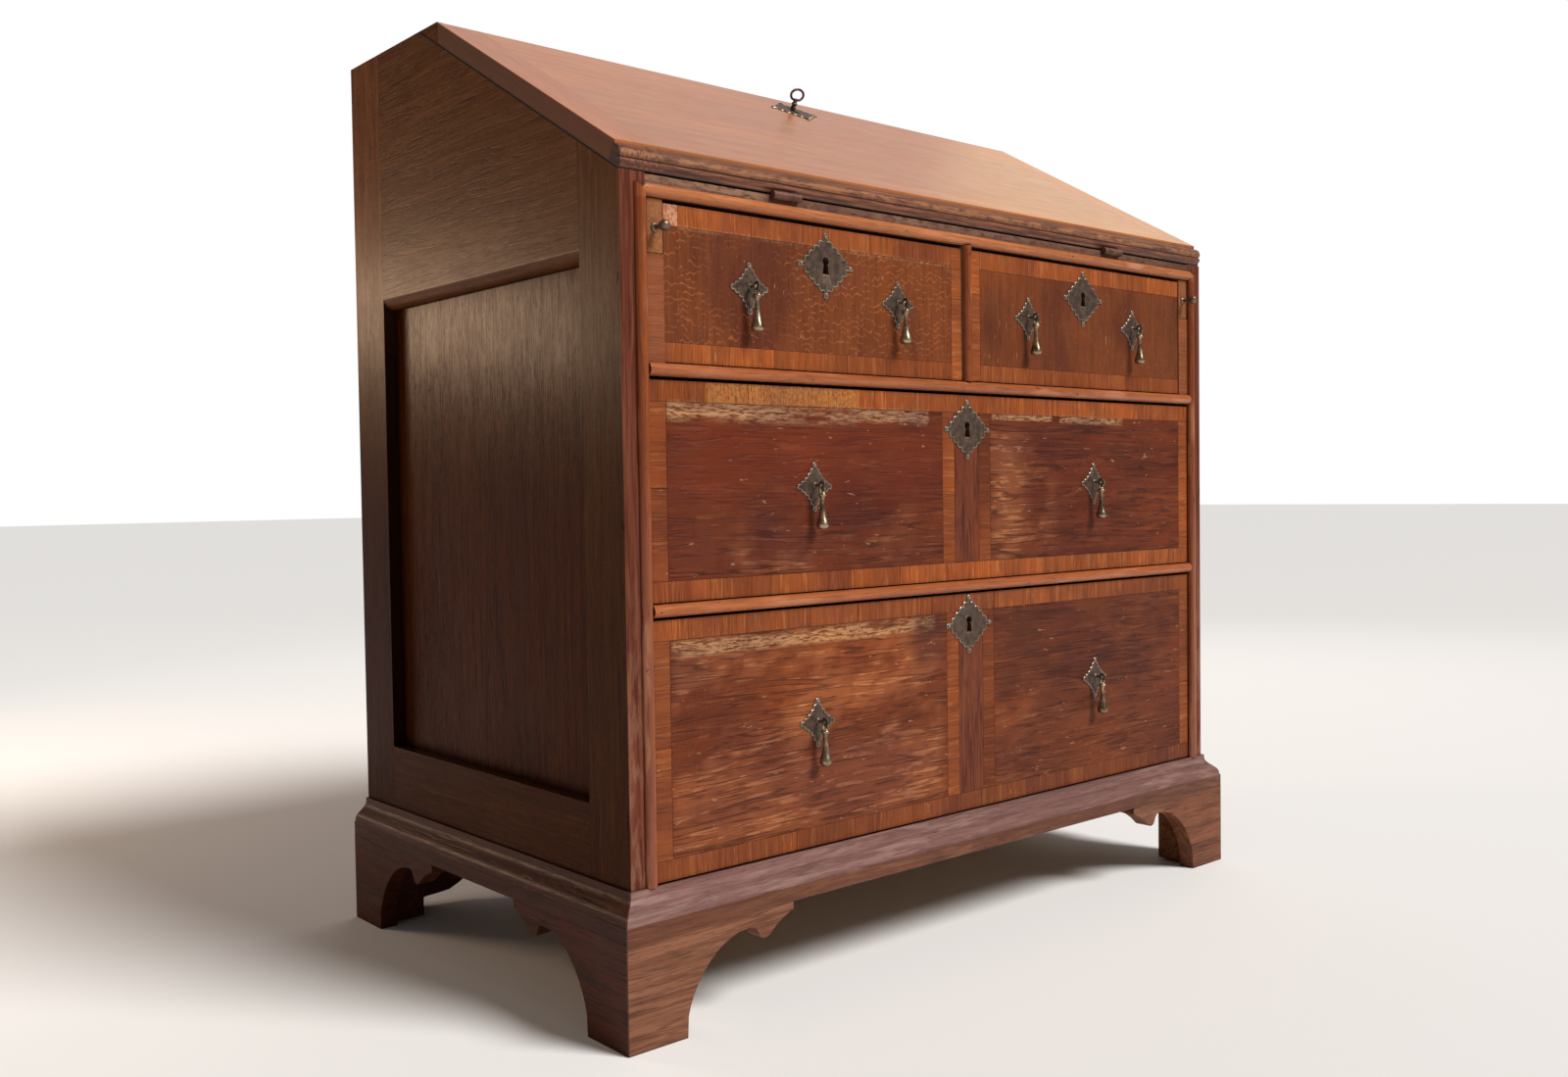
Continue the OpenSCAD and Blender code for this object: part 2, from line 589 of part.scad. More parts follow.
module left_drawer_front() place() color("#7a3c20") flip(-1) small_front();
module left_drawer_box() place() color(lining) flip(-1) small_box();
module left_drawer_brasses() place() color(brass)
  brasses(-small_pull_out, -small_pull_in, small_pull_z, -lock_x, small_esc);
module left_drawer_lock() place() color(iron) drawer_lock(-lock_x, small_top, small_esc + 4.6);
module left_drawer_bolt() place() color(bolt_iron) drawer_bolt(-lock_x, small_top);
module left_drawer_drop_a() place() color(drop_brass) drop(-small_pull_out, small_pull_z);
module left_drawer_drop_b() place() color(drop_brass) drop(-small_pull_in, small_pull_z);
module right_drawer_front() place() color("#7a3c20") small_front();
module right_drawer_box() place() color(lining) small_box();
module right_drawer_brasses() place() color(brass)
  brasses(small_pull_in, small_pull_out, small_pull_z, lock_x, small_esc);
module right_drawer_lock() place() color(iron) drawer_lock(lock_x, small_top, small_esc + 4.6);
module right_drawer_bolt() place() color(bolt_iron) drawer_bolt(lock_x, small_top);
module right_drawer_drop_a() place() color(drop_brass) drop(small_pull_in, small_pull_z);
module right_drawer_drop_b() place() color(drop_brass) drop(small_pull_out, small_pull_z);
module upper_drawer_front() place() color("#7a3c20") long_front(upper_bot, upper_top, upper_esc, 4);
module upper_drawer_box() place() color(lining) long_box(upper_bot, upper_top, 4, 0.4);
module upper_drawer_brasses() place() color(brass)
  brasses(-long_pull, long_pull, upper_pull_z, 0, upper_esc);
module upper_drawer_lock() place() color(iron) drawer_lock(0, upper_top, upper_esc + 4.6);
module upper_drawer_bolt() place() color(bolt_iron) drawer_bolt(0, upper_top);
module upper_drawer_drop_a() place() color(drop_brass) drop(-long_pull, upper_pull_z);
module upper_drawer_drop_b() place() color(drop_brass) drop(long_pull, upper_pull_z);
module lower_drawer_front() place() color("#7a3c20") long_front(lower_bot, lower_top, lower_esc, 5);
module lower_drawer_box() place() color(lining) long_box(lower_bot, lower_top, 5, 0.4);
module lower_drawer_brasses() place() color(brass)
  brasses(-long_pull, long_pull, lower_pull_z, 0, lower_esc);
module lower_drawer_lock() place() color(iron) drawer_lock(0, lower_top, lower_esc + 4.6);
module lower_drawer_bolt() place() color(bolt_iron) drawer_bolt(0, lower_top);
module lower_drawer_drop_a() place() color(drop_brass) drop(-long_pull, lower_pull_z);
module lower_drawer_drop_b() place() color(drop_brass) drop(long_pull, lower_pull_z);

// ---- Fitted interior ----
in_top = desk_h - top_t - 2;
in_floor = writing_h + 6;
in_shelf = writing_h + 63;
in_x = ix - 9;
bay = in_x / 3;
in_back = case_d - back_t - 1.5;
// Clearance between the small boards of the interior
fit = 0.1;
module valance(x0, x1) difference() {
  box(x0, x1, inner_y + 1, inner_y + 7, in_top - 26, in_top - 6 - fit);
  for (k = [0.25, 0.75]) translate([x0 + (x1 - x0) * k, inner_y, in_top - 40])
    rotate([-90, 0, 0]) cylinder(r = 30, h = 8);
}
module pigeonhole_case() place() color("#8a5a30") {
  for (s = [-1, 1]) flip(s) box(in_x, in_x + 8, inner_y, in_back, writing_h + 0.1, in_top);
  for (z = [in_top - 6, writing_h + 0.1, in_shelf])
    box(-in_x + fit, in_x - fit, inner_y, in_back, z, z + (z < in_floor ? 5.9 : 6));
  for (i = [-2:2])
    box(i * bay - 2.5, i * bay + 2.5, inner_y, in_back, in_shelf + 6 + fit, in_top - 6 - fit);
  for (s = [-1, 1]) flip(s)
    box(bay - 2.5, bay + 2.5, inner_y, in_back, in_floor + fit, in_shelf - fit);
}
module pigeonhole_valances() place() color("#8a5a30")
  for (i = [-3:2])
    valance(i * bay + fit + (i == -3 ? 0 : 2.5), (i + 1) * bay - fit - (i == 2 ? 0 : 2.5));
module inner_drawer() {
  x0 = bay + 3.2;
  x1 = in_x - 0.7;
  z0 = in_floor + 0.6;
  z1 = in_shelf - 0.8;
  y0 = inner_y + 0.5;
  y1 = in_back - 14;
  box(x0, x1, y0, y0 + 9, z0, z1);
  for (x = [x0 + 0.2, x1 - 5.2]) box(x, x + 5, y0 + 9 + fit, y1, z0, z1 - 3);
  box(x0 + 5.2 + fit, x1 - 5.2 - fit, y1 - 5, y1, z0 + 4 + fit, z1 - 3);
  box(x0 + 5.2 + fit, x1 - 5.2 - fit, y0 + 9 + fit, y1, z0 + 0.2, z0 + 4);
  translate([(x0 + x1) / 2, y0 - fit, (z0 + z1) / 2]) knob_turned(14);
}
module left_inner_drawer() place() color("#94632f") flip(-1) inner_drawer();
module right_inner_drawer() place() color("#94632f") inner_drawer();

left_side_frame();
right_side_frame();
side_panels();
top_board();
back_boards();
writing_board();
front_rails();
centre_partition();
dust_boards();
bead_mouldings();
bottom_board();
base_moulding();
front_left_foot();
front_right_foot();
back_left_foot();
back_right_foot();
loper_housings();
case_hinge_leaves();
pigeonhole_case();
pigeonhole_valances();
left_loper();
left_loper_knob();
right_loper();
right_loper_knob();
fall_board();
fall_hinge_leaves();
fall_lock();
fall_escutcheon();
fall_bolt();
key();
left_inner_drawer();
right_inner_drawer();
left_drawer_front();
left_drawer_box();
left_drawer_brasses();
left_drawer_lock();
left_drawer_bolt();
left_drawer_drop_a();
left_drawer_drop_b();
right_drawer_front();
right_drawer_box();
right_drawer_brasses();
right_drawer_lock();
right_drawer_bolt();
right_drawer_drop_a();
right_drawer_drop_b();
upper_drawer_front();
upper_drawer_box();
upper_drawer_brasses();
upper_drawer_lock();
upper_drawer_bolt();
upper_drawer_drop_a();
upper_drawer_drop_b();
lower_drawer_front();
lower_drawer_box();
lower_drawer_brasses();
lower_drawer_lock();
lower_drawer_bolt();
lower_drawer_drop_a();
lower_drawer_drop_b();
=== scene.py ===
"""Looks of a slant-front oak bureau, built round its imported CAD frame."""
import json
import math
import random

import bmesh
import bpy
from mathutils import Matrix, Vector


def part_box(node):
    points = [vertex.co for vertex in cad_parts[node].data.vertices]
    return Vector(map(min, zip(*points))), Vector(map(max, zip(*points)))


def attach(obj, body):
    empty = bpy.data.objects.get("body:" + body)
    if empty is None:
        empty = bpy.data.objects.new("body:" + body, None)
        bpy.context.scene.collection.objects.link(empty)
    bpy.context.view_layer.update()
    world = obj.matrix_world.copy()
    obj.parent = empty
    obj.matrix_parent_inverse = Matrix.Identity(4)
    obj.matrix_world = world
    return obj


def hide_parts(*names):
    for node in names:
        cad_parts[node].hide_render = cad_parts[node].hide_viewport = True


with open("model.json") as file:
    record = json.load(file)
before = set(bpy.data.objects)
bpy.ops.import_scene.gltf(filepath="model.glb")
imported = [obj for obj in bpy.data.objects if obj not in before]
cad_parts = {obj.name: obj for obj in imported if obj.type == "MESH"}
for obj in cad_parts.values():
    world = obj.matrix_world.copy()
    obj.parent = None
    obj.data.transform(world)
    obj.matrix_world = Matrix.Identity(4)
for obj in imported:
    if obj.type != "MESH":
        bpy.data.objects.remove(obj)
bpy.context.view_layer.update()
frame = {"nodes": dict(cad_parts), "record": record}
NODES = frame["nodes"]
BODY = {n: b for b, ns in frame["record"]["behaviour"]["bodies"].items() for n in ns}
MM = 0.001
DRAWERS = ("left", "right", "upper", "lower")
SCENE = bpy.context.scene
rng = random.Random(11)

# The case in millimetres: where its front is, half its width, its depth
FRONT_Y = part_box("front_rails")[0].y / MM
HALF_W = -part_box("left_side_frame")[0].x / MM
CASE_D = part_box("left_side_frame")[1].y / MM - FRONT_Y


def depth(y):
    """Millimetres behind the case front, as a y of the frame."""
    return (y + FRONT_Y) * MM


def P(x, y, z):
    """A point given in millimetres, y from the case front, as a point of the frame."""
    return Vector((x * MM, depth(y), z * MM))


# The shut fall: its slope, its hinge line, and the directions up the slope and out of it
SLOPE = math.radians(29.862)
HINGE = P(0, -2.3, 787)
UP = Vector((0, math.cos(SLOPE), math.sin(SLOPE)))
OUT = Vector((0, -math.sin(SLOPE), math.cos(SLOPE)))
# Where the side's rails end and its stiles begin, and where the fall's cleats begin
STILES = (66, CASE_D - 72)
CLEAT_X = HALF_W - 50


# ---- node helpers
class Tree:
    """A material's node tree, with short calls for the nodes used here."""

    def __init__(self, name, rough=0.5, metal=0.0, coat=0.0, coat_rough=0.2, spec=0.5):
        self.mat = bpy.data.materials.new(name)
        self.mat.use_nodes = True
        self.nt = self.mat.node_tree
        self.bsdf = self.nt.nodes["Principled BSDF"]
        self.put("Roughness", rough)
        self.put("Metallic", metal)
        self.put("Coat Weight", coat)
        self.put("Coat Roughness", coat_rough)
        self.put("Specular IOR Level", spec)
        self.coord = self.node("TexCoord").outputs["Object"]

    def node(self, kind, **props):
        n = self.nt.nodes.new("ShaderNode" + kind)
        for k, v in props.items():
            setattr(n, k, v)
        return n

    def feed(self, socket, value):
        if isinstance(value, bpy.types.NodeSocket):
            self.nt.links.new(value, socket)
        elif value is not None:
            if hasattr(socket.default_value, "__len__") and len(socket.default_value) == 4:
                value = (*value[:3], 1.0)
            socket.default_value = value

    def put(self, name, value):
        self.feed(self.bsdf.inputs[name], value)

    def math(self, op, a, b=None):
        n = self.node("Math", operation=op)
        self.feed(n.inputs[0], a)
        if b is not None:
            self.feed(n.inputs[1], b)
        return n.outputs[0]

    def mul(self, a, *others):
        for b in others:
            a = self.math("MULTIPLY", a, b)
        return a

    def abs(self, a):
        return self.math("ABSOLUTE", a)

    def add(self, a, b):
        return self.math("ADD", a, b)

    def vec(self, op, a, b):
        n = self.node("VectorMath", operation=op)
        self.feed(n.inputs[0], a)
        self.feed(n.inputs[1], b)
        return n.outputs[0]

    def split(self, v):
        n = self.node("SeparateXYZ")
        self.feed(n.inputs[0], v)
        return n.outputs

    def join(self, x, y, z):
        n = self.node("CombineXYZ")
        for s, v in zip(n.inputs, (x, y, z)):
            self.feed(s, v)
        return n.outputs[0]

    def mix(self, fac, a, b, blend="MIX"):
        n = self.node("Mix", data_type="RGBA", blend_type=blend)
        self.feed(n.inputs[0], fac)
        self.feed(n.inputs[6], a)
        self.feed(n.inputs[7], b)
        return n.outputs[2]

    def mix_vectors(self, fac, a, b):
        n = self.node("Mix", data_type="VECTOR")
        self.feed(n.inputs[0], fac)
        self.feed(n.inputs[4], a)
        self.feed(n.inputs[5], b)
        return n.outputs[1]

    def step(self, value, lo, hi, a=0.0, b=1.0):
        n = self.node("MapRange", interpolation_type="SMOOTHSTEP")
        for s, v in zip(n.inputs, (value, lo, hi, a, b)):
            self.feed(s, v)
        return n.outputs[0]

    def noise(self, v, scale, detail=3.0, rough=0.55, give="Fac"):
        """scale is one number for each axis; with two, the second serves across and up."""
        n = self.node("TexNoise")
        self.feed(n.inputs["Vector"], self.vec("MULTIPLY", v, (*scale, scale[-1])[:3]))
        n.inputs["Scale"].default_value = 1.0
        n.inputs["Detail"].default_value = detail
        n.inputs["Roughness"].default_value = rough
        return n.outputs[give]

    def attr(self, name):
        return self.node("Attribute", attribute_name=name).outputs["Fac"]

    def region(self, x0, x1, z0, z1, soft):
        """1 inside a rectangle of the front, in millimetres, fading over soft."""
        x, z = self.xyz[0], self.xyz[2]
        s = soft * MM
        m = self.step(x, x0 * MM - s, x0 * MM + s)
        m = self.mul(m, self.step(x, x1 * MM - s, x1 * MM + s, 1.0, 0.0))
        m = self.mul(m, self.step(z, z0 * MM - s, z0 * MM + s))
        return self.mul(m, self.step(z, z1 * MM - s, z1 * MM + s, 1.0, 0.0))

    def dim(self, colour, k):
        """A colour made k times as bright."""
        if isinstance(colour, bpy.types.NodeSocket):
            return self.vec("MULTIPLY", colour, (k, k, k))
        return tuple(min(1.0, c * k) for c in colour)

    def bump(self, height, distance):
        n = self.node("Bump")
        n.inputs["Strength"].default_value = 1.0
        n.inputs["Distance"].default_value = distance
        self.feed(n.inputs["Height"], height)
        return n.outputs[0]

    def lines(self, n, width):
        """Thin lines where the noise n passes its middle, and the paler wood along one side of them."""
        d = self.add(n, -0.5)
        pale = self.mul(self.step(d, width * 0.7, width * 1.5), self.step(d, width * 3.4, width * 1.8))
        return self.step(self.abs(d), width * 0.3, width, 1.0, 0.0), pale

    def tint(self, mask, colour, amount=1.0, blend="MIX"):
        """Paint colour over the wood's own, where mask is 1."""
        self.col = self.mix(self.mul(mask, amount) if amount != 1.0 else mask, self.col, colour, blend)

    def shade(self, mask, colour, amount=1.0):
        """Multiply the wood's own colour by another, where mask is 1."""
        self.tint(mask, colour, amount, "MULTIPLY")

    def grime_and_shade_mask(self, distance):
        """1 in corners and beside raised pieces, where grime gathers and shade falls; 0 in the open."""
        n = self.node("AmbientOcclusion", samples=5)
        n.inputs["Distance"].default_value = distance
        return self.step(n.outputs["AO"], 0.35, 0.95, 1.0, 0.0)


# For fibres along an axis: which coordinate is taken along, across and up
AXES = {"x": (0, 1, 2), "y": (1, 0, 2), "z": (2, 1, 0)}


def wood(name, dark, mid, light, grain="x", cross="z", turn=None, flips=False, tilt=0.0, seed=0.0,
         palette=None, streak=0.4, fine=0.35, ring=0.15, patch=0.25, dash=0.25, pore=0.4,
         pale_ridge=0.15, ridge=None, rub=None, rubbed=None, flecks=0.0, grime_and_shade=0.5, grime_and_shade_mm=9,
         rough=0.42, coat=0.1, coat_rough=0.22, spec=0.2, bump=1.0, extra=None):
    """Oak in three tones. grain is the axis that the fibres follow. Where turn (a mask made from the
    place) or, for veneer (flips), the face attribute flip is 1, they follow cross; the attribute seed
    gives a sheet its own figure. tilt leans the axes for a sloping board. palette makes the three
    tones from the place, rub the worn places, and extra adds what belongs to one piece only."""
    t = Tree(name, coat=coat, coat_rough=coat_rough, spec=spec)
    if tilt:
        n = t.node("VectorRotate", rotation_type="X_AXIS")
        t.feed(n.inputs["Vector"], t.coord)
        n.inputs["Angle"].default_value = -tilt
        t.coord = n.outputs[0]
    t.xyz = xyz = t.split(t.coord)
    if palette:
        dark, mid, light = palette(t)
    v = t.join(*(xyz[i] for i in AXES[grain]))
    mask = t.attr("flip") if flips else turn(t) if turn else None
    if mask is not None:
        v = t.mix_vectors(mask, v, t.join(*(xyz[i] for i in AXES[cross])))
        own = t.attr("seed") if flips else mask
        v = t.vec("ADD", v, t.join(t.mul(own, 3.1), own, t.mul(own, 1.7)))
    v = t.vec("ADD", v, (seed * 1.37, seed * 0.71, seed * 2.13))
    # Fibres wander a little; every layer below follows them
    sway = t.noise(v, (4.2, 13), 2.0, give="Color")
    w = t.vec("ADD", v, t.vec("MULTIPLY", t.vec("SUBTRACT", sway, (0.5, 0.5, 0.5)), (0.0, 0.014, 0.014)))
    broad = t.noise(v, (3.0, 7), 3.0, 0.6)
    bands = t.noise(w, (1.8, 85), 4.0, 0.6)
    ripple = t.noise(w, (6.0, 320), 3.0, 0.6)
    # Yearly rings cut at a slant
    fig = t.noise(w, (1.3, 16), 1.0, 0.4)
    rings = t.math("FRACT", t.mul(fig, 26.0))
    rings = t.mul(t.step(rings, 0.0, 0.8), t.step(rings, 0.82, 1.0, 1.0, 0.0))
    col = t.mix(t.step(bands, 0.36, 0.62, 1.0 - streak, 1.0), dark, mid)
    col = t.mix(t.mul(t.step(ripple, 0.50, 0.72), fine), col, light)
    col = t.mix(t.mul(t.step(ripple, 0.50, 0.28), fine), col, dark)
    col = t.mix(t.mul(rings, ring), col, dark)
    cloud = t.mix(t.step(broad, 0.3, 0.7), (0.40, 0.37, 0.37), (1.0, 0.98, 0.95))
    col = t.mix(patch, col, cloud, "MULTIPLY")
    # Open pores are broken dark lines, with paler ridges beside them. Crossbands show more ridges
    t.v, t.w = v, w
    some = t.step(t.noise(v, (15, 70), 3.0, 0.6), 0.40, 0.55)
    lines, pale = t.lines(t.noise(w, (8, 185), 1.5, 0.5), 0.055)
    lines, pale = t.mul(lines, some), t.mul(pale, t.step(t.noise(v, (45, 140), 2.0), 0.40, 0.55))
    show, pale_oak, dashes = pale_ridge, t.dim(light, 1.15), dash
    if flips:
        part = t.attr("part")
        band = t.mul(t.step(part, 0.4, 0.6), t.step(part, 1.6, 1.4))
        show = t.add(pale_ridge, t.mul(band, 0.22))
        pale_oak = t.mix(band, ridge, (0.50, 0.19, 0.055))
        dashes = t.add(dash, t.mul(band, 0.34 - dash))
    if rub:
        # Wear lifts the colour and bares the ridges
        worn = rub(t)
        col = t.mix(t.mul(worn, 0.5), col, rubbed)
        show = t.add(show, t.mul(worn, 0.7))
    col = t.mix(t.mul(pale, show), col, pale_oak)
    col = t.mix(t.mul(lines, dashes), col, t.dim(dark, 0.55))
    hairs = t.step(t.noise(w, (60, 700), 2.0, 0.5), 0.57, 0.68)
    col = t.mix(t.mul(hairs, pore), col, t.dim(dark, 0.6))
    height = t.add(t.mul(hairs, -0.4), t.mul(lines, -1.2 * min(1, dash * 2)))
    if flecks:
        # Medullary rays: rows of short wavy paler flecks across the grain; on veneer, only the field
        wave = t.mul(t.noise(v, (45, 120), 1.0, 0.5), 2.6)
        row = t.math("FRACT", t.add(t.mul(t.split(v)[0], 150.0), wave))
        ray = t.step(t.abs(t.add(row, -0.5)), 0.04, 0.15, 1.0, 0.0)
        ray = t.mul(ray, t.step(t.noise(v, (190, 95), 1.0), 0.45, 0.55),
                    t.step(t.noise(v, (9, 12), 1.0), 0.30, 0.46, 0.25, 1.0))
        if flips:
            ray = t.mul(ray, t.step(t.attr("part"), 0.4, 0.6, 1.0, 0.0))
        col = t.mix(t.mul(ray, flecks), col, t.dim(light, 1.25))
    t.shine = t.add(rough - 0.09, t.mul(t.noise(v, (30, 90), 3.0), 0.18))
    t.col, t.height, t.ripple = col, height, ripple
    if extra:
        extra(t)
    if flips:
        # The attribute tone lightens or darkens one sheet of veneer
        tone = t.attr("tone")
        t.col = t.mix(t.step(tone, 0.0, 1.0), t.col, (1.45, 1.35, 1.2), "MULTIPLY")
        t.col = t.mix(t.step(tone, 0.0, -1.0), t.col, (0.5, 0.42, 0.42), "MULTIPLY")
    # Grime with painted shade: the wood darkened in corners and beside raised pieces
    if grime_and_shade:
        g = t.grime_and_shade_mask(grime_and_shade_mm * MM)
        t.col = t.mix(t.mul(g, grime_and_shade), t.col, t.dim(dark, 0.16))
        t.shine = t.add(t.shine, t.mul(g, 0.2))
    t.put("Base Color", t.col)
    t.put("Roughness", t.shine)
    uneven = t.noise(t.v, (9, 26), 2.0)
    h = t.add(t.add(t.height, t.mul(t.ripple, 0.35)), t.mul(uneven, 0.9))
    t.put("Normal", t.bump(h, 0.00022 * bump))
    return t.mat


# ---- mesh helpers
def in_scene(data, name):
    ob = bpy.data.objects.new(name, data)
    SCENE.collection.objects.link(ob)
    return ob


def finish_mesh(name, bm, mat, node, angle=38):
    """bm as an object that rides with a CAD node's body and stands in for it, the node hidden."""
    me = bpy.data.meshes.new(name)
    bmesh.ops.recalc_face_normals(bm, faces=bm.faces)
    bm.to_mesh(me)
    bm.free()
    me.shade_smooth()
    me.set_sharp_from_angle(angle=math.radians(angle))
    ob = in_scene(me, name)
    me.materials.append(mat)
    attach(ob, BODY[node])
    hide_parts(node)
    return ob


def soften(ob, width, segments=2, angle=32):
    """Worn arrises: a small rounded bevel with flat faces kept flat."""
    m = ob.modifiers.new("arris", "BEVEL")
    m.width = width * MM
    m.segments = segments
    m.limit_method = "ANGLE"
    m.angle_limit = math.radians(angle)
    m.harden_normals = True
    m.use_clamp_overlap = True
    m.miter_outer = "MITER_ARC"


def cad_copy(node):
    """A CAD node's mesh with doubled points and the edges inside flat faces taken out."""
    bm = bmesh.new()
    bm.from_mesh(NODES[node].data)
    bmesh.ops.remove_doubles(bm, verts=bm.verts, dist=2e-6)
    bmesh.ops.dissolve_limit(bm, angle_limit=math.radians(1), verts=bm.verts, edges=bm.edges)
    return bm


def crafted(node, mat, bevel, segments=2, angle=38, bevel_angle=32):
    """A copy of a CAD node with clean faces and softened arrises."""
    ob = finish_mesh(node + "_made", cad_copy(node), mat, node, angle)
    soften(ob, bevel, segments, bevel_angle)
    flat = ob.modifiers.new("flats", "WEIGHTED_NORMAL")
    flat.keep_sharp = True
    flat.weight = 80


def tagged(bm):
    """The face attributes that the materials read."""
    return {k: (bm.faces.layers.float.get(k) or bm.faces.layers.float.new(k))
            for k in ("flip", "seed", "tone", "part", "edge")}


def tag(bm, faces, tags):
    lay = tagged(bm)
    for f in faces:
        for k, value in tags.items():
            f[lay[k]] = value


def lathe(bm, profile, place, segments=40, **tags):
    """A turned shape: profile is (radius, height) pairs, placed by a function of x, y, height."""
    tagged(bm)
    rings, faces = [], []
    for r, h in profile:
        if r < 1e-6:
            rings.append([bm.verts.new(place(0, 0, h))])
        else:
            rings.append([bm.verts.new(place(r * math.cos(2 * math.pi * i / segments),
                                             r * math.sin(2 * math.pi * i / segments), h))
                          for i in range(segments)])
    for lo, hi in zip(rings, rings[1:]):
        for i in range(segments):
            j = (i + 1) % segments
            quad = []
            for v in (lo[i % len(lo)], lo[j % len(lo)], hi[j % len(hi)], hi[i % len(hi)]):
                if v not in quad:
                    quad.append(v)
            if len(quad) > 2:
                faces.append(bm.faces.new(quad))
    tag(bm, faces, tags)


def tube(bm, path, r, place, sides=14):
    """A round wire bent along path, a closed line of (u, v) points."""
    n = len(path)
    turns = [2 * math.pi * s / sides for s in range(sides)]
    rings = []
    for i, (u, v) in enumerate(path):
        pu, pv = path[i - 1]
        nu, nv = path[(i + 1) % n]
        k = math.hypot(nu - pu, nv - pv)
        ou, ov = (nv - pv) / k, (pu - nu) / k
        offsets = [(r * math.cos(a), r * math.sin(a)) for a in turns]
        rings.append([bm.verts.new(place(u + ou * out, v + ov * out, up)) for out, up in offsets])
    for i in range(n):
        lo, hi = rings[i], rings[(i + 1) % n]
        for s in range(sides):
            q = (s + 1) % sides
            bm.faces.new((lo[s], lo[q], hi[q], hi[s]))


def smooth_profile(points, steps=3):
    """The points of a profile joined by a smooth curve through them."""
    out = []
    for i in range(len(points) - 1):
        p0, p1, p2 = points[max(i - 1, 0)], points[i], points[i + 1]
        p3 = points[min(i + 2, len(points) - 1)]
        for s in range(steps):
            t = s / steps
            out.append(tuple(0.5 * (2 * b + (c - a) * t + (2 * a - 5 * b + 4 * c - d) * t * t
                                    + (3 * b - a - 3 * c + d) * t ** 3)
                             for a, b, c, d in zip(p0, p1, p2, p3)))
    out.append(points[-1])
    return [(max(r, 0.0), h) for r, h in out]


# ---- metals
def metal(name, colour, deep, rough, metallic, edge=None, scale=90, rust=None):
    """Old metal: patina in the hollows, rubbed faces; the face attribute edge brightens worn rims."""
    t = Tree(name, metal=metallic)
    cloud = t.noise(t.coord, (scale,) * 3, 4.0, 0.6)
    spots = t.noise(t.coord, (scale * 6,) * 3, 3.0, 0.6)
    col = t.mix(t.step(cloud, 0.35, 0.65), deep, colour)
    col = t.mix(t.mul(t.step(spots, 0.55, 0.72), 0.6), col, deep)
    shine = t.add(rough - 0.1, t.mul(cloud, 0.22))
    if rust:
        col = t.mix(t.step(t.noise(t.coord, (scale * 2,) * 3), 0.5, 0.66), col, rust)
    g = t.grime_and_shade_mask(2.2 * MM)
    col = t.mix(t.mul(g, 0.7), col, tuple(k * 0.25 for k in deep))
    if edge:
        rub = t.mul(t.attr("edge"), t.step(cloud, 0.3, 0.6, 0.45, 1.0))
        col = t.mix(rub, col, edge)
        shine = t.add(shine, t.mul(rub, -0.12))
    t.put("Base Color", col)
    t.put("Roughness", shine)
    t.put("Normal", t.bump(t.add(cloud, t.mul(spots, 0.3)), 0.0001))
    return t.mat


# ---- woods
def side_turn(t):
    """The rails run front to back between the upright stiles."""
    y = t.xyz[1]
    return t.mul(t.math("GREATER_THAN", y, depth(STILES[0])), t.math("LESS_THAN", y, depth(STILES[1])))


def side_looks(t):
    """Joint lines, a painted shadow under the fall, painted sheen on the upper parts and a chipped front
    edge.
    """
    y, z = t.xyz[1], t.xyz[2]
    for edge in STILES:
        d = t.abs(t.add(y, -depth(edge)))
        t.tint(t.step(d, 0.0002, 0.0007, 0.7, 0.0), (0.004, 0.002, 0.001))
    # The polish is left only higher up
    t.put("Coat Weight", t.add(t.step(z, 0.35, 0.62, 0.0, 0.05), t.step(z, 0.66, 0.80, 0.0, 0.05)))
    # Painted shadow in the gap under the fall; out is the height over the hinge line, square to the slope
    out = t.add(t.add(t.mul(z, OUT.z), t.mul(y, OUT.y)), -HINGE.dot(OUT))
    gap_shadow = t.mul(t.step(out, -0.0022, -0.0008), t.step(out, 0.0010, 0.0002))
    t.tint(gap_shadow, (0.006, 0.003, 0.002), 0.9)
    # Painted sheen: paler, greyer oak on the top rail and the head of the back stile, whose foot is darker
    t.shade(t.step(z, 0.62, 0.79), (1.95, 2.4, 3.9))
    stile = t.step(y, depth(STILES[1] - 2), depth(STILES[1] + 2))
    t.shade(t.mul(stile, t.step(z, 0.5, 0.85)), (1.45, 1.4, 1.6), 0.8)
    t.shade(t.mul(stile, t.step(z, 0.6, 0.4)), (0.72, 0.46, 0.30))
    # The edge that faces forward: purplish red, greyer where it is rubbed low down, chipped outside
    edge = t.step(y, depth(1.2), depth(0.6))
    t.tint(edge, t.mix(t.step(t.ripple, 0.35, 0.65), (0.085, 0.023, 0.013), (0.185, 0.056, 0.033)))
    grey = t.mul(edge, t.step(z, 0.5, 0.2), t.step(t.noise(t.v, (20, 90), 4.0, 0.7), 0.42, 0.6))
    t.tint(grey, (0.25, 0.12, 0.075), 0.7)
    chips = t.mul(t.step(t.noise(t.v, (26, 110), 4.0, 0.7), 0.60, 0.66),
                  t.step(y, depth(7), depth(1)),
                  t.step(t.abs(t.xyz[0]), (HALF_W - 5) * MM, (HALF_W - 1) * MM))
    t.tint(chips, (0.02, 0.008, 0.005), 0.9)
    t.height = t.add(t.height, t.mul(chips, -4.0))


def panel_looks(t):
    t.put("Coat Weight", t.step(t.xyz[2], 0.35, 0.55, 0.0, 0.05))


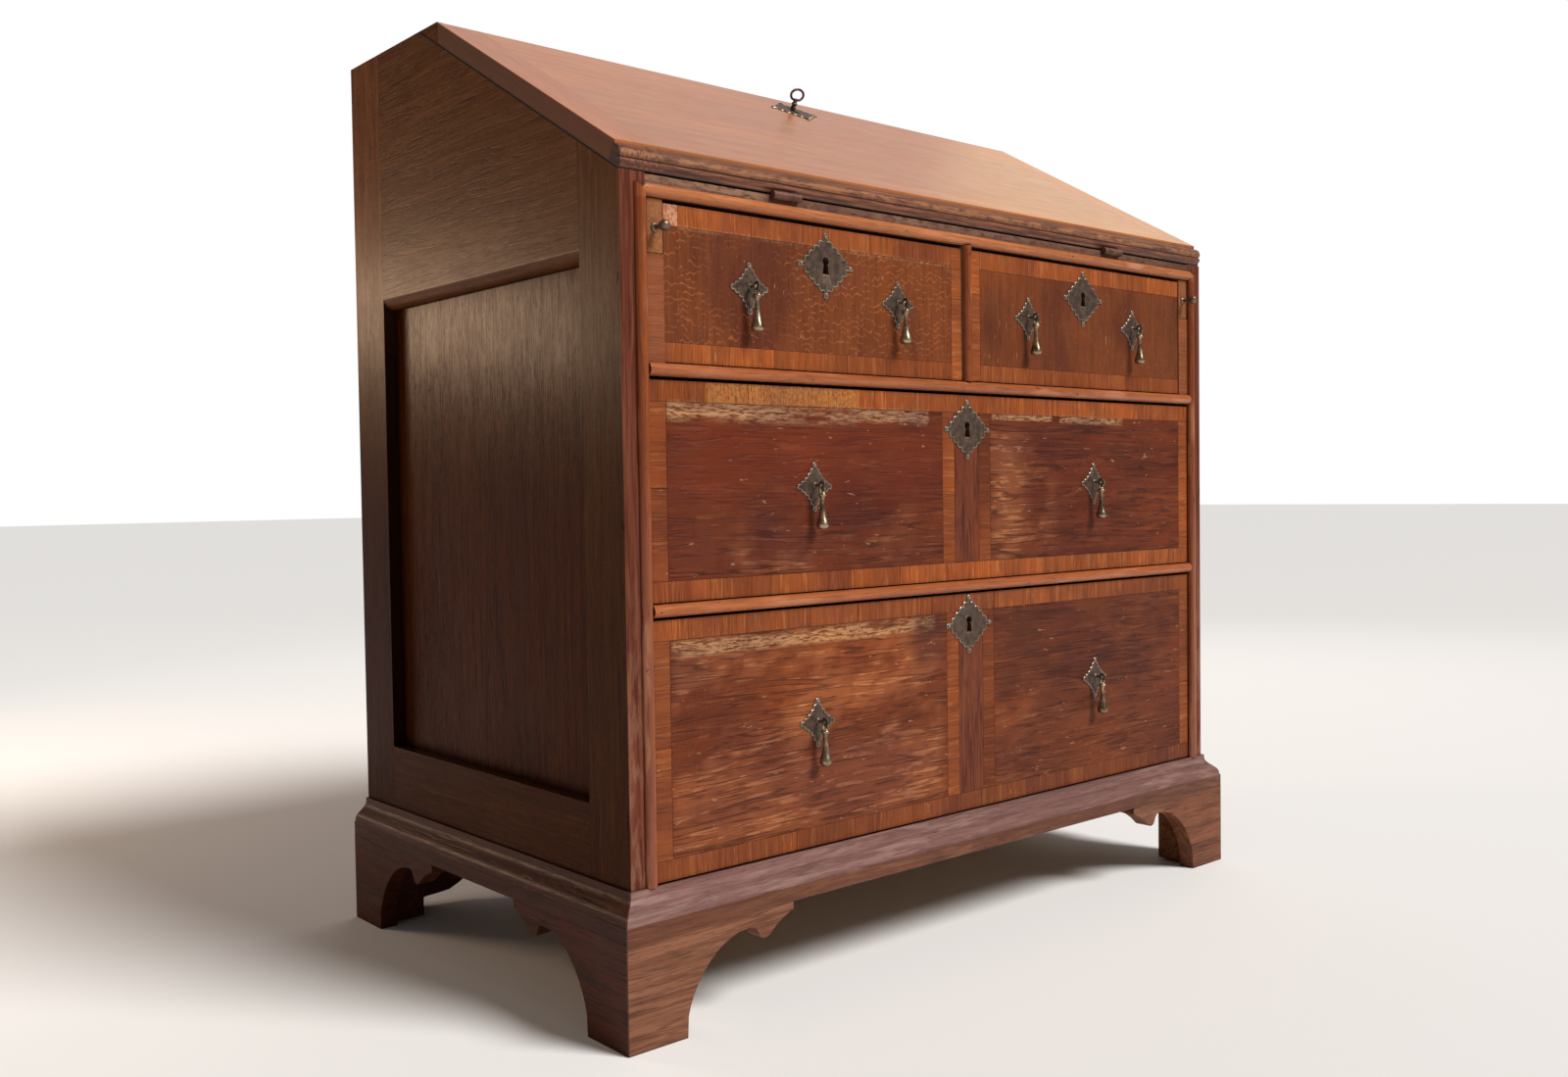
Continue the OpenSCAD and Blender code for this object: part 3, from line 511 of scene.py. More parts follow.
M = {}
M["side"] = wood("side oak", (0.027, 0.007, 0.001), (0.062, 0.017, 0.003), (0.112, 0.038, 0.011),
                 grain="z", cross="y", turn=side_turn, seed=1, rough=0.36, coat_rough=0.24, spec=0.03,
                 flecks=0.12, bump=0.7, extra=side_looks)
M["panel"] = wood("panel oak", (0.024, 0.005, 0.0007), (0.058, 0.012, 0.0014), (0.10, 0.028, 0.006),
                  grain="z", seed=2, rough=0.33, coat_rough=0.2, spec=0.03, grime_and_shade_mm=14, grime_and_shade=0.7,
                  bump=1.3, fine=0.5, extra=panel_looks)
M["top"] = wood("top oak", (0.21, 0.078, 0.030), (0.37, 0.155, 0.068), (0.51, 0.245, 0.115), seed=3,
                rough=0.3, coat=0.4, coat_rough=0.14, flecks=0.12)


def back_looks(t):
    """Stains and saw marks on boards that were never finished."""
    stain = t.noise(t.coord, (5, 5, 3), 4.0)
    t.shade(t.step(stain, 0.5, 0.66), (0.45, 0.4, 0.38), 0.8)
    saw = t.noise(t.coord, (8, 8, 260), 1.0)
    t.height = t.add(t.height, t.mul(saw, 1.2))


M["back"] = wood("back oak", (0.05, 0.028, 0.014), (0.13, 0.075, 0.04), (0.22, 0.14, 0.08), grain="z",
                 seed=4, rough=0.72, coat=0.0, bump=2.2, extra=back_looks, flecks=0.15, streak=0.6)
M["inside"] = wood("inside oak", (0.14, 0.062, 0.026), (0.27, 0.125, 0.055), (0.40, 0.21, 0.10),
                   seed=5, rough=0.42, coat=0.2, flecks=0.2, grime_and_shade_mm=12)
M["lining"] = wood("lining oak", (0.17, 0.095, 0.048), (0.32, 0.20, 0.11), (0.45, 0.31, 0.18),
                   grain="y", seed=7, rough=0.62, coat=0.0, bump=1.5, flecks=0.12, patch=0.35)


def rail_looks(t):
    """Dust and rubbed patches along the rail under the fall."""
    dust = t.noise(t.v, (60, 190), 5.0, 0.75)
    up = t.mul(t.step(t.xyz[2], 0.7782, 0.7792), t.step(t.noise(t.v, (5, 6), 2.0), 0.3, 0.5))
    left = t.step(t.xyz[0], 0.15, -0.25, 0.35, 1.0)
    t.tint(t.mul(up, left, t.step(dust, 0.40, 0.56)), (0.34, 0.19, 0.11), 0.75)
    dents = t.step(t.noise(t.v, (90, 300), 3.0, 0.7), 0.6, 0.68)
    t.tint(t.mul(up, dents), (0.04, 0.016, 0.010), 0.7)


M["rail"] = wood("rail oak", (0.052, 0.018, 0.012), (0.14, 0.052, 0.033), (0.23, 0.10, 0.065), seed=8,
                 rough=0.5, coat=0.1, extra=rail_looks)


def bead_looks(t):
    """Nail holes, rubbed and nicked places, and a painted highlight that makes the top bead paler."""
    n = t.node("TexVoronoi", feature="F1")
    t.feed(n.inputs["Vector"], t.vec("MULTIPLY", t.coord, (34, 34, 34)))
    n.inputs["Scale"].default_value = 1.0
    holes = t.step(n.outputs["Distance"], 0.02, 0.04, 1.0, 0.0)
    t.tint(holes, (0.01, 0.004, 0.002))
    t.height = t.add(t.height, t.mul(holes, -3.0))
    wear = t.noise(t.v, (11, 60), 3.0)
    t.tint(t.step(wear, 0.56, 0.7), (0.55, 0.22, 0.11), 0.5)
    nick = t.step(t.noise(t.v, (50, 160), 3.0, 0.7), 0.66, 0.72)
    t.tint(nick, (0.05, 0.015, 0.008), 0.8)
    # Painted highlight: the top bead made paler and greyer
    t.shade(t.step(t.xyz[2], 0.764, 0.766), (1.25, 1.45, 1.6))


BEAD = dict(rough=0.3, coat=0.5, coat_rough=0.14, ring=0.1, pore=0.3, grime_and_shade_mm=3.0, grime_and_shade=0.75,
            bump=1.5, extra=bead_looks)
M["bead"] = wood("bead along", (0.25, 0.055, 0.014), (0.43, 0.118, 0.032), (0.58, 0.2, 0.07),
                 seed=10, **BEAD)
M["bead_up"] = wood("bead upright", (0.15, 0.034, 0.010), (0.28, 0.068, 0.020), (0.41, 0.125, 0.042),
                    grain="z", seed=11, **BEAD)


def corner(t):
    """How far a point lies on the side's half of the mitre at a front corner."""
    out = t.add(t.abs(t.xyz[0]), -HALF_W * MM)
    return t.math("SUBTRACT", out, t.add(t.mul(t.xyz[1], -1.0), FRONT_Y * MM))


def on_side(t):
    return t.math("GREATER_THAN", corner(t), 0.0)


def mitre(t):
    """A dark joint line, and painted shade that darkens the side faces, which have lost their polish."""
    t.tint(t.step(t.abs(corner(t)), 0.0003, 0.0009, 0.8, 0.0), (0.006, 0.003, 0.002))
    side = t.step(corner(t), 0.0, 0.002)
    # Painted shade: the side faces made darker than the front
    t.shade(side, (0.30, 0.15, 0.075))
    t.put("Coat Weight", t.mul(t.add(1.0, t.mul(side, -1.0)), 0.12))


def base_looks(t):
    """Curly grain on the ogee with pale streaks of dust and painted highlight; the fillet under it is
    redder.
    """
    curl_and_highlight = t.noise(t.w, (16, 210), 4.0, 0.65)
    near = t.step(t.noise(t.v, (5, 9), 2.0), 0.42, 0.58, 0.25, 1.0)
    # Pale lilac streaks along the grain: dust and a painted highlight
    t.tint(t.mul(t.step(curl_and_highlight, 0.46, 0.62), near), (0.38, 0.24, 0.20), 0.42)
    low = t.step(t.xyz[2], 0.1150, 0.1140)
    t.shade(low, (0.68, 0.47, 0.27), 0.95)
    mitre(t)


M["base"] = wood("base oak", (0.10, 0.045, 0.038), (0.215, 0.105, 0.092), (0.32, 0.175, 0.155), grain="x",
                 cross="y", turn=on_side, seed=12, rough=0.4, spec=0.12, extra=base_looks, grime_and_shade_mm=6)


def foot_looks(t):
    """Coarse open grain; the right foot is darker."""
    mitre(t)
    coarse = t.noise(t.w, (7, 170), 3.0, 0.6)
    t.shade(t.step(coarse, 0.48, 0.62), (0.5, 0.4, 0.36), 0.7)
    t.shade(t.step(t.xyz[0], 0.3, 0.4), (0.9, 0.75, 0.62))


M["foot"] = wood("foot oak", (0.110, 0.043, 0.021), (0.255, 0.104, 0.056), (0.38, 0.168, 0.098), grain="x",
                 cross="y", turn=on_side, seed=13, rough=0.45, spec=0.12, extra=foot_looks, dash=0.45)
M["loper"] = wood("loper oak", (0.17, 0.055, 0.018), (0.33, 0.118, 0.04), (0.45, 0.2, 0.08), grain="y",
                  seed=14, rough=0.42, coat=0.2)
M["band"] = wood("band oak", (0.17, 0.045, 0.016), (0.27, 0.076, 0.026), (0.40, 0.14, 0.055), grain="x",
                 seed=15, rough=0.42, coat=0.1)


def fall_looks(t):
    """Long polished: warm board, more orange cleats, dark edges."""
    ends = t.abs(t.xyz[0])
    joint = t.abs(t.add(ends, -CLEAT_X * MM))
    t.tint(t.step(joint, 0.0002, 0.0006, 0.4, 0.0), (0.05, 0.02, 0.01))
    t.shade(cleats(t), (1.0, 0.85, 0.7), 0.6)
    # The moulded front edge is dark and streaked and the two ends carry painted shade; the ovolo keeps gold
    # dust with a painted highlight
    up, out = t.add(t.xyz[1], -HINGE.dot(UP)), t.add(t.xyz[2], -HINGE.dot(OUT))
    under = t.step(out, 0.0197, 0.0190)
    front = t.mul(t.step(up, 0.024, 0.018), under)
    streaks = t.noise(t.v, (22, 330), 4.0, 0.7)
    t.tint(front, t.mix(t.step(streaks, 0.42, 0.62), (0.085, 0.027, 0.015), (0.215, 0.078, 0.040)))
    dust_and_highlight = t.mul(t.step(out, 0.0085, 0.0115), t.step(out, 0.0168, 0.0150))
    gold = t.mul(front, dust_and_highlight, t.step(t.noise(t.v, (60, 260), 5.0, 0.75), 0.42, 0.58))
    t.tint(gold, (0.42, 0.195, 0.08), 0.55)
    # Painted shade: the two ends, turned from the light, made darker
    side = t.mul(t.step(ends, (HALF_W - 2.5) * MM, (HALF_W - 1.2) * MM), under)
    t.shade(side, (0.20, 0.15, 0.12))
    # Painted shadow along the underside, where the fall meets the case
    t.tint(t.step(out, 0.0018, 0.0006), (0.012, 0.006, 0.004), 0.9)
    t.shine = t.add(t.shine, t.mul(t.math("MAXIMUM", front, side), 0.25))
    # Broad changes of tone along the board
    warm = t.noise(t.v, (1.6, 6), 2.0)
    t.shade(t.step(warm, 0.35, 0.65), (1.2, 1.05, 0.85), 0.7)


def cleats(t):
    return t.math("GREATER_THAN", t.abs(t.xyz[0]), CLEAT_X * MM)


M["fall"] = wood("fall oak", (0.33, 0.115, 0.04), (0.50, 0.20, 0.075), (0.66, 0.31, 0.13), cross="y",
                 turn=cleats, tilt=SLOPE, seed=16, rough=0.36, coat=0.4, coat_rough=0.2, pore=0.22,
                 ring=0.13, bump=0.12, patch=0.2, grime_and_shade_mm=4, dash=0.08, streak=0.32, fine=0.25,
                 pale_ridge=0.03, extra=fall_looks)


def rubs(*patches):
    """Soft wear over parts of a drawer's fields: (x0, x1, z0, z1, soft, amount, scale) in millimetres.
    A scale above 0 breaks the patch into slanting flames."""
    def mask(t):
        most = 0.0
        back = t.mul(t.xyz[0], -0.35)
        leaning = t.vec("ADD", t.v, t.join(t.mul(t.xyz[2], 0.5), back, back))
        for x0, x1, z0, z1, soft, amount, scale in patches:
            m = t.mul(t.region(x0, x1, z0, z1, soft), amount)
            if scale:
                n = t.noise(leaning, (scale, scale * 2.2), 3.0, 0.65)
                m = t.mul(m, t.step(n, 0.42, 0.62))
            most = t.math("MAXIMUM", most, m)
        return t.mul(most, t.step(t.attr("part"), 0.5, 0.3))
    return mask


def scraped(*patches):
    """Places where the surface is scratched through: (x0, x1, z0, z1, soft, colour, amount, kind).
    kind says how the patch is broken up; an even one is whole."""
    def looks(t):
        line = t.noise(t.w, (75, 420), 5.0, 0.8)
        come = t.noise(t.v, (11, 75), 3.0, 0.6)
        kinds = {"scrape": t.mul(t.step(line, 0.40, 0.58), t.step(come, 0.32, 0.54)),
                 "cloud": t.step(t.noise(t.v, (9, 14), 3.0, 0.6), 0.42, 0.62),
                 "speck": t.step(t.noise(t.coord, (430, 430, 210), 3.0, 0.7), 0.40, 0.58, 0.1, 1.0)}
        for x0, x1, z0, z1, soft, colour, amount, kind in patches:
            m = t.region(x0, x1, z0, z1, soft)
            t.tint(t.mul(m, kinds[kind]) if kind != "even" else m, colour, amount)
        # Purple and orange clouds in the old varnish of the fields
        cloud = t.noise(t.v, (5, 11), 3.0, 0.6)
        t.shade(t.step(cloud, 0.5, 0.66), (0.66, 0.60, 0.85), 0.8)
        t.shade(t.step(cloud, 0.5, 0.34), (1.35, 1.25, 0.95), 0.6)
        # A few small dents and pale nicks
        nick = t.step(t.noise(t.v, (60, 260), 2.0, 0.6), 0.70, 0.75)
        t.tint(nick, (0.36, 0.19, 0.11), 0.7)
    return looks


def veneers(deep):
    """The tones of field, crossband and middle strip, told apart by the face attribute part."""
    def palette(t):
        p = t.attr("part")
        band, strip = t.step(p, 0.4, 0.6), t.step(p, 1.4, 1.6)
        out = []
        for field_tone, band_tone, strip_tone in (
                ((0.070, 0.014, 0.004), (0.22, 0.048, 0.010), (0.085, 0.020, 0.009)),
                ((0.160, 0.038, 0.011), (0.31, 0.080, 0.020), (0.175, 0.042, 0.017)),
                ((0.245, 0.072, 0.025), (0.43, 0.138, 0.038), (0.25, 0.072, 0.032))):
            field_tone = tuple(k * d for k, d in zip(field_tone, deep))
            out.append(t.mix(strip, t.mix(band, field_tone, band_tone), strip_tone))
        return out
    return palette


TAN, GOLD = (0.47, 0.275, 0.145), (0.41, 0.185, 0.055)
BLACKISH, BROWN = (0.045, 0.011, 0.009), (0.12, 0.032, 0.014)
FRONTS = dict(flips=True, dark=None, mid=None, light=None, rough=0.46, coat=0.0, spec=0.15, grime_and_shade_mm=5,
              grime_and_shade=0.8, bump=1.5, ridge=(0.40, 0.17, 0.075), rubbed=(0.33, 0.115, 0.048))
SHORT = dict(streak=0.2, fine=0.2, pore=0.3, ring=0.05, pale_ridge=0.05, **FRONTS)
LONG = dict(flecks=0.1, dash=0.6, fine=0.15, **FRONTS)

M["left"] = wood(
    "left drawer veneer", palette=veneers((1.15, 1.25, 1.2)), seed=21, flecks=0.65, dash=0.12, **SHORT,
    extra=scraped((-411, -395, 744, 764, 1, (0.42, 0.25, 0.17), 0.85, "speck"),
                  (-395, -20, 741, 745, 1.5, TAN, 0.35, "scrape")))
M["right"] = wood(
    "right drawer veneer", palette=veneers((1.1, 1.2, 1.2)), seed=22, flecks=0.15, dash=0.15, **SHORT,
    extra=scraped((24, 411, 640, 740, 20, BLACKISH, 0.2, "cloud")))
M["upper"] = wood(
    "upper drawer veneer", palette=veneers((0.88, 0.70, 0.75)), seed=23, streak=0.3, pale_ridge=0.09, **LONG,
    rub=rubs((41, 95, 425, 560, 26, 0.9, 0),
             (60, 150, 430, 545, 24, 0.6, 9),
             (-340, -230, 420, 475, 18, 0.8, 8),
             (-405, -60, 425, 570, 30, 0.28, 9)),
    extra=scraped((-411, -42, 485, 570, 30, (0.15, 0.021, 0.005), 0.55, "even"),
                  (-440, -250, 440, 570, 30, (0.09, 0.016, 0.006), 0.38, "even"),
                  (-411, -62, 570, 584, 3.0, TAN, 0.7, "scrape"),
                  (-411, -170, 566, 577, 4.0, TAN, 0.5, "scrape"),
                  (42, 150, 577, 583.5, 1.5, TAN, 0.75, "scrape"),
                  (165, 290, 576, 584, 2, TAN, 0.75, "scrape"),
                  (-365, -170, 584, 603, 2, GOLD, 0.8, "speck"),
                  (-431, -365, 584, 603, 2, (0.12, 0.032, 0.012), 0.6, "cloud")))
M["lower"] = wood(
    "lower drawer veneer", palette=veneers((1.0, 0.95, 0.95)), seed=24, streak=0.25, pale_ridge=0.12, **LONG,
    rub=rubs((-409, -45, 165, 345, 12, 0.85, 7),
             (-409, -45, 162, 240, 14, 0.55, 0),
             (45, 150, 165, 260, 20, 0.35, 9)),
    extra=scraped((-409, -55, 347, 362, 3, TAN, 0.68, "scrape"),
                  (-431, 431, 142, 161.5, 1, (0.10, 0.026, 0.012), 0.42, "even"),
                  (-431, -411.5, 161, 384, 1, BROWN, 0.32, "even"),
                  (-411, 431, 364, 384, 1, (0.12, 0.036, 0.018), 0.3, "cloud"),
                  (411.5, 431, 161, 364, 1, BROWN, 0.35, "even"),
                  (60, 410, 240, 362, 35, BLACKISH, 0.55, "cloud"),
                  (-90, -40, 310, 362, 16, BLACKISH, 0.7, "even")))

M["hinge"] = metal("hinge iron", (0.17, 0.075, 0.05), (0.07, 0.028, 0.02), 0.55, 0.5,
                   rust=(0.2, 0.07, 0.035))
M["iron"] = metal("lock iron", (0.13, 0.12, 0.11), (0.05, 0.043, 0.04), 0.5, 0.85,
                  rust=(0.12, 0.05, 0.025))
M["steel"] = metal("bolt steel", (0.42, 0.40, 0.37), (0.2, 0.18, 0.16), 0.36, 1.0)
M["key"] = metal("key iron", (0.16, 0.095, 0.07), (0.07, 0.038, 0.028), 0.42, 0.85, scale=160)
M["plate"] = metal("bronzed brass", (0.125, 0.080, 0.056), (0.070, 0.043, 0.030), 0.45, 0.6,
                   edge=(0.34, 0.26, 0.2), scale=140)
M["drop"] = metal("polished brass", (0.50, 0.38, 0.25), (0.20, 0.14, 0.085), 0.3, 0.95, scale=120)
M["knob"] = metal("aged brass", (0.27, 0.19, 0.13), (0.12, 0.08, 0.055), 0.42, 0.8, scale=130)


# ---- case
SQUARE = dict(angle=30, bevel_angle=50)  # keeps moulded edges crisp
for mat, bevel, how, nodes in (
        ("side", 1.1, dict(segments=3), "left_side_frame right_side_frame"),
        ("panel", 0.6, {}, "side_panels"),
        ("top", 1.2, dict(segments=3), "top_board"),
        ("back", 0.8, {}, "back_boards"),
        ("inside", 0.6, {}, "writing_board pigeonhole_valances"),
        ("inside", 0.5, {}, "pigeonhole_case"),
        ("lining", 0.5, {}, "centre_partition dust_boards bottom_board"),
        ("rail", 0.8, {}, "front_rails"),
        ("band", 0.4, {}, "loper_housings"),
        ("base", 0.5, SQUARE, "base_moulding"),
        ("foot", 0.9, SQUARE, "front_left_foot front_right_foot back_left_foot back_right_foot"),
        ("loper", 0.7, {}, "left_loper right_loper"),
        ("hinge", 0.25, {}, "case_hinge_leaves fall_hinge_leaves"),
        ("fall", 0.7, SQUARE, "fall_board"),
        ("iron", 0.3, {}, "fall_lock"),
        ("steel", 0.4, {}, "fall_bolt")):
    for node in nodes.split():
        crafted(node, M[mat], bevel, **how)
for d in DRAWERS:
    for part, mat, bevel in (("box", "lining", 0.6), ("lock", "iron", 0.3), ("bolt", "steel", 0.4)):
        crafted(f"{d}_drawer_{part}", M[mat], bevel)


# Beads: half-round strips nailed on the rails, mitred at the top corners
def bead(name, a, b, mat, mitres=(0, 0)):
    """A half-round from a to b, (x, z) each, with the mitre signs of its two ends."""
    bm = bmesh.new()
    along = Vector((b[0] - a[0], 0, b[1] - a[1])).normalized()
    side = Vector((along.z, 0, -along.x))
    r, n = BEAD_R, 20
    rows = []
    for end, mitre in zip((a, b), mitres):
        row = []
        for i in range(n + 1):
            t = math.pi * i / n
            off = r * math.cos(t)
            x = end[0] + side.x * off + along.x * mitre * off
            z = end[1] + side.z * off + along.z * mitre * off
            row.append(bm.verts.new(P(x, -r * math.sin(t), z)))
        rows.append(row)
    for i in range(n):
        bm.faces.new((rows[0][i], rows[0][i + 1], rows[1][i + 1], rows[1][i]))
    for row in rows:
        bm.faces.new(row)
    bm.faces.new((rows[0][0], rows[0][-1], rows[1][-1], rows[1][0]))
    soften(finish_mesh(name, bm, mat, "bead_mouldings", 50), 0.35, 1, 60)


BEAD_R, BEAD_X = 6.0, 438
BASE_Z, LOW_Z, MID_Z, TOP_Z = 141, 392, 612, 773
bead("bead_top", (-BEAD_X, TOP_Z), (BEAD_X, TOP_Z), M["bead"], (-1, 1))
bead("bead_left", (-BEAD_X, BASE_Z), (-BEAD_X, TOP_Z), M["bead_up"], (0, -1))
bead("bead_right", (BEAD_X, BASE_Z), (BEAD_X, TOP_Z), M["bead_up"], (0, 1))
for name, z in (("bead_middle", MID_Z), ("bead_low", LOW_Z)):
    bead(name, (BEAD_R - BEAD_X, z), (BEAD_X - BEAD_R, z), M["bead"])
bead("bead_divider", (0, MID_Z + BEAD_R), (0, TOP_Z - BEAD_R), M["bead_up"])


# ---- drawer fronts
FACE_Y, VENEER = 1.0, 0.6  # the fronts stand this far back, and their veneer is this thick
HOLE_W, HOLE_H = 5.4, 9.0  # half the opening left in the veneer round a keyhole


def front_board(node, name):
    """The front's ground: the CAD board with its face set back by the thickness of the veneer."""
    bm = cad_copy(node)
    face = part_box(node)[0].y
    for v in bm.verts:
        if abs(v.co.y - face) < 1e-5:
            v.co.y += VENEER * MM
    soften(finish_mesh(name, bm, M["rail"], node), 0.3, 1)


def sheet_corners(bm, x0, x1, z0, z1):
    return [[bm.verts.new(P(x, y, z)) for x, z in ((x0, z0), (x1, z0), (x1, z1), (x0, z1))]
            for y in (FACE_Y, FACE_Y + VENEER)]


def tile(bm, x0, x1, z0, z1, hole=None, **tags):
    """One sheet of veneer with a fine gap round it, or a frame of it round a keyhole at (x, z)."""
    gap = 0.12
    front, rear = sheet_corners(bm, x0 + gap, x1 - gap, z0 + gap, z1 - gap)
    faces = []
    if hole:
        x, z = hole
        hf, hb = sheet_corners(bm, x - HOLE_W, x + HOLE_W, z - HOLE_H, z + HOLE_H)
        for i in range(4):
            j = (i + 1) % 4
            faces.append(bm.faces.new((front[i], front[j], hf[j], hf[i])))
            faces.append(bm.faces.new((rear[i], rear[j], hb[j], hb[i])))
            faces.append(bm.faces.new((hf[i], hf[j], hb[j], hb[i])))
    else:
        faces += [bm.faces.new(front), bm.faces.new(rear[::-1])]
    for i in range(4):
        j = (i + 1) % 4
        faces.append(bm.faces.new((front[i], front[j], rear[j], rear[i])))
    tag(bm, faces, tags)


def run(bm, x0, x1, z0, z1, along, shade=0.0):
    """A crossband laid in short lengths, each with its own tone, its grain across the band."""
    at, end = (x0, x1) if along == "x" else (z0, z1)
    while at < end - 1:
        nxt = at + rng.uniform(62, 118)
        if end - nxt < 40:
            nxt = end
        tags = dict(flip=1.0 if along == "x" else 0.0, seed=rng.uniform(1, 9), part=1.0,
                    tone=rng.uniform(-0.4, 0.4) + shade)
        box = (at, nxt, z0, z1) if along == "x" else (x0, x1, at, nxt)
        tile(bm, *box, **tags)
        at = nxt


def veneered(d, build, *sizes):
    """The ground board of a drawer's front, and the sheets of veneer that build lays on it."""
    node = d + "_drawer_front"
    front_board(node, d + "_drawer_ground")
    bm = bmesh.new()
    tagged(bm)
    build(bm, *sizes)
    soften(finish_mesh(d + "_drawer_veneer", bm, M[d], node), 0.18, 1)


def short_front(bm, sign):
    """A short drawer: crossbands over, under and at the inner end; a patch at the left one's corner."""
    x0, x1, z0, z1 = 6.8, 411.6, 619.0, 763.5
    end, low, high = x0 + 17, z0 + 18.5, z1 - 20

    def put(x0, x1, z0, z1, lay, *a, **k):
        xs = (x0, x1) if sign > 0 else (-x1, -x0)
        lay(bm, *xs, z0, z1, *a, **k)
    put(end, x1, low, high, tile, hole=(sign * 210.7, 725.5), part=0.0, flip=1.0, seed=sign * 2.0, tone=0.0)
    put(end, x1 - (17 if sign < 0 else 0), high, z1, run, "x")
    if sign < 0:
        tile(bm, -x1, 17 - x1, high, z1, part=1.0, flip=0.0, seed=3.3, tone=0.8)
    put(end, x1, z0, low, run, "x")
    put(x0, end, z0, z1, run, "z")


def long_front(bm, z0, z1, hole_z, mid, tones, shades):
    """A long drawer: two fields with a dark strip between, all framed by crossbands. tones are those
    of the fields; shades darken the outer bands and the two beside the strip."""
    x1, wide = 431.2, 19.5
    low, high = z0 + wide, z1 - wide
    s0, s1 = mid - 20, mid + 20
    field = dict(part=0.0, flip=0.0)
    tile(bm, wide - x1, s0 - wide, low, high, seed=rng.uniform(1, 4), tone=tones[0], **field)
    tile(bm, s1 + wide, x1 - wide, low, high, seed=rng.uniform(5, 8), tone=tones[1], **field)
    outer, left, right = shades
    run(bm, s0 - wide, s0, low, high, "z", left)
    run(bm, s1, s1 + wide, low, high, "z", right)
    tile(bm, s0, s1, low, high, hole=(0, hole_z), part=2.0, flip=1.0, seed=4.4, tone=0.0)
    run(bm, -x1, wide - x1, low, high, "z", outer)
    run(bm, x1 - wide, x1, low, high, "z", outer)
    run(bm, -x1, x1, high, z1, "x", outer)
    run(bm, -x1, x1, z0, low, "x", outer)


veneered("left", short_front, -1)
veneered("right", short_front, 1)
veneered("upper", long_front, 399, 603, 565, -1, (-0.15, -0.1), (0.0, -0.05, -0.6))
veneered("lower", long_front, 142, 383.5, 349, 3, (0.4, 0.05), (-0.2, -0.5, -0.65))


# ---- brasses
def polar(shapes, polygon, centre, n):
    """The outline of circles (u, v, r) and a polygon joined, as n points seen from centre."""
    cu, cv = centre
    out = []
    for i in range(n):
        a = 2 * math.pi * i / n
        du, dv = math.cos(a), math.sin(a)
        best = 0.0
        for u, v, r in shapes:
            ou, ov = u - cu, v - cv
            along = ou * du + ov * dv
            gap = r * r - (ou * ou + ov * ov - along * along)
            if gap > 0 and along + math.sqrt(gap) > best:
                best = along + math.sqrt(gap)
        for (u0, v0), (u1, v1) in zip(polygon, polygon[1:] + polygon[:1]):
            eu, ev = u1 - u0, v1 - v0
            det = du * ev - dv * eu
            if abs(det) < 1e-9:
                continue
            t = ((u0 - cu) * ev - (v0 - cv) * eu) / det
            s = ((u0 - cu) * dv - (v0 - cv) * du) / det
            if t > best and -1e-9 <= s <= 1 + 1e-9:
                best = t
        out.append((cu + best * du, cv + best * dv))
    return out


def shrink(outline, by, centre):
    """The outline moved inwards: mostly along its own normal, with a little pull to the centre."""
    out = []
    for i, (u, v) in enumerate(outline):
        pu, pv = outline[i - 1]
        nu, nv = outline[(i + 1) % len(outline)]
        edge = math.hypot(nu - pu, nv - pv) or 1.0
        du, dv = centre[0] - u, centre[1] - v
        away = math.hypot(du, dv) or 1.0
        out.append((u + (0.75 * (pv - nv) / edge + 0.25 * du / away) * by,
                    v + (0.75 * (nu - pu) / edge + 0.25 * dv / away) * by))
    return out


KEYHOLE = ([(0.0, 5.0, 4.3)], [(-2.3, 5.0), (2.3, 5.0), (4.4, -8.6), (-4.4, -8.6)])


def mirrored(points):
    return [(s * u, v, r) for u, v, r in points for s in (-1, 1)]


def escutcheon_outline():
    """A diamond with rounded scallops along each edge and a small round lobe at each point."""
    a, b = 37.5, 33.0
    circles = []
    for k, r in ((0.2, 4.2), (0.40, 4.6), (0.60, 4.6), (0.8, 4.2)):
        for sz in (-1, 1):
            circles += mirrored([((a - 5.5) * (1 - k) - 0.6, sz * ((b - 5.5) * k - 0.6), r)])
    circles += [(a - 3.0, 0, 3.0), (-a + 3.0, 0, 3.0), (0, b - 3.0, 3.0), (0, -b + 3.0, 3.0)]
    return polar(circles, [(a - 8, 0), (0, b - 8), (-a + 8, 0), (0, -b + 8)], (0, 1.5), 480)


def handle_outline():
    """A small diamond, pinched at the waist, with scallops along each edge and a lobe at each point."""
    circles = [(0, 22.0, 3.0), (0, -22.0, 3.0)] + mirrored(
        [(20.4, 0.4, 3.0), (15.4, 3.0, 3.3), (10.6, 6.4, 3.4), (6.6, 10.8, 3.4), (3.2, 15.8, 3.2),
         (15.2, -2.4, 3.2), (10.4, -5.6, 3.3), (6.2, -10.0, 3.2), (2.8, -15.4, 3.0)])
    half = [(1.2, 21), (4.4, 12), (9, 6), (18, 1), (9, -4), (4, -10), (1.2, -21)]
    return polar(circles, [(-u, v) for u, v in half] + half[::-1], (0, 1), 400)


PLATE = 1.3  # thickness


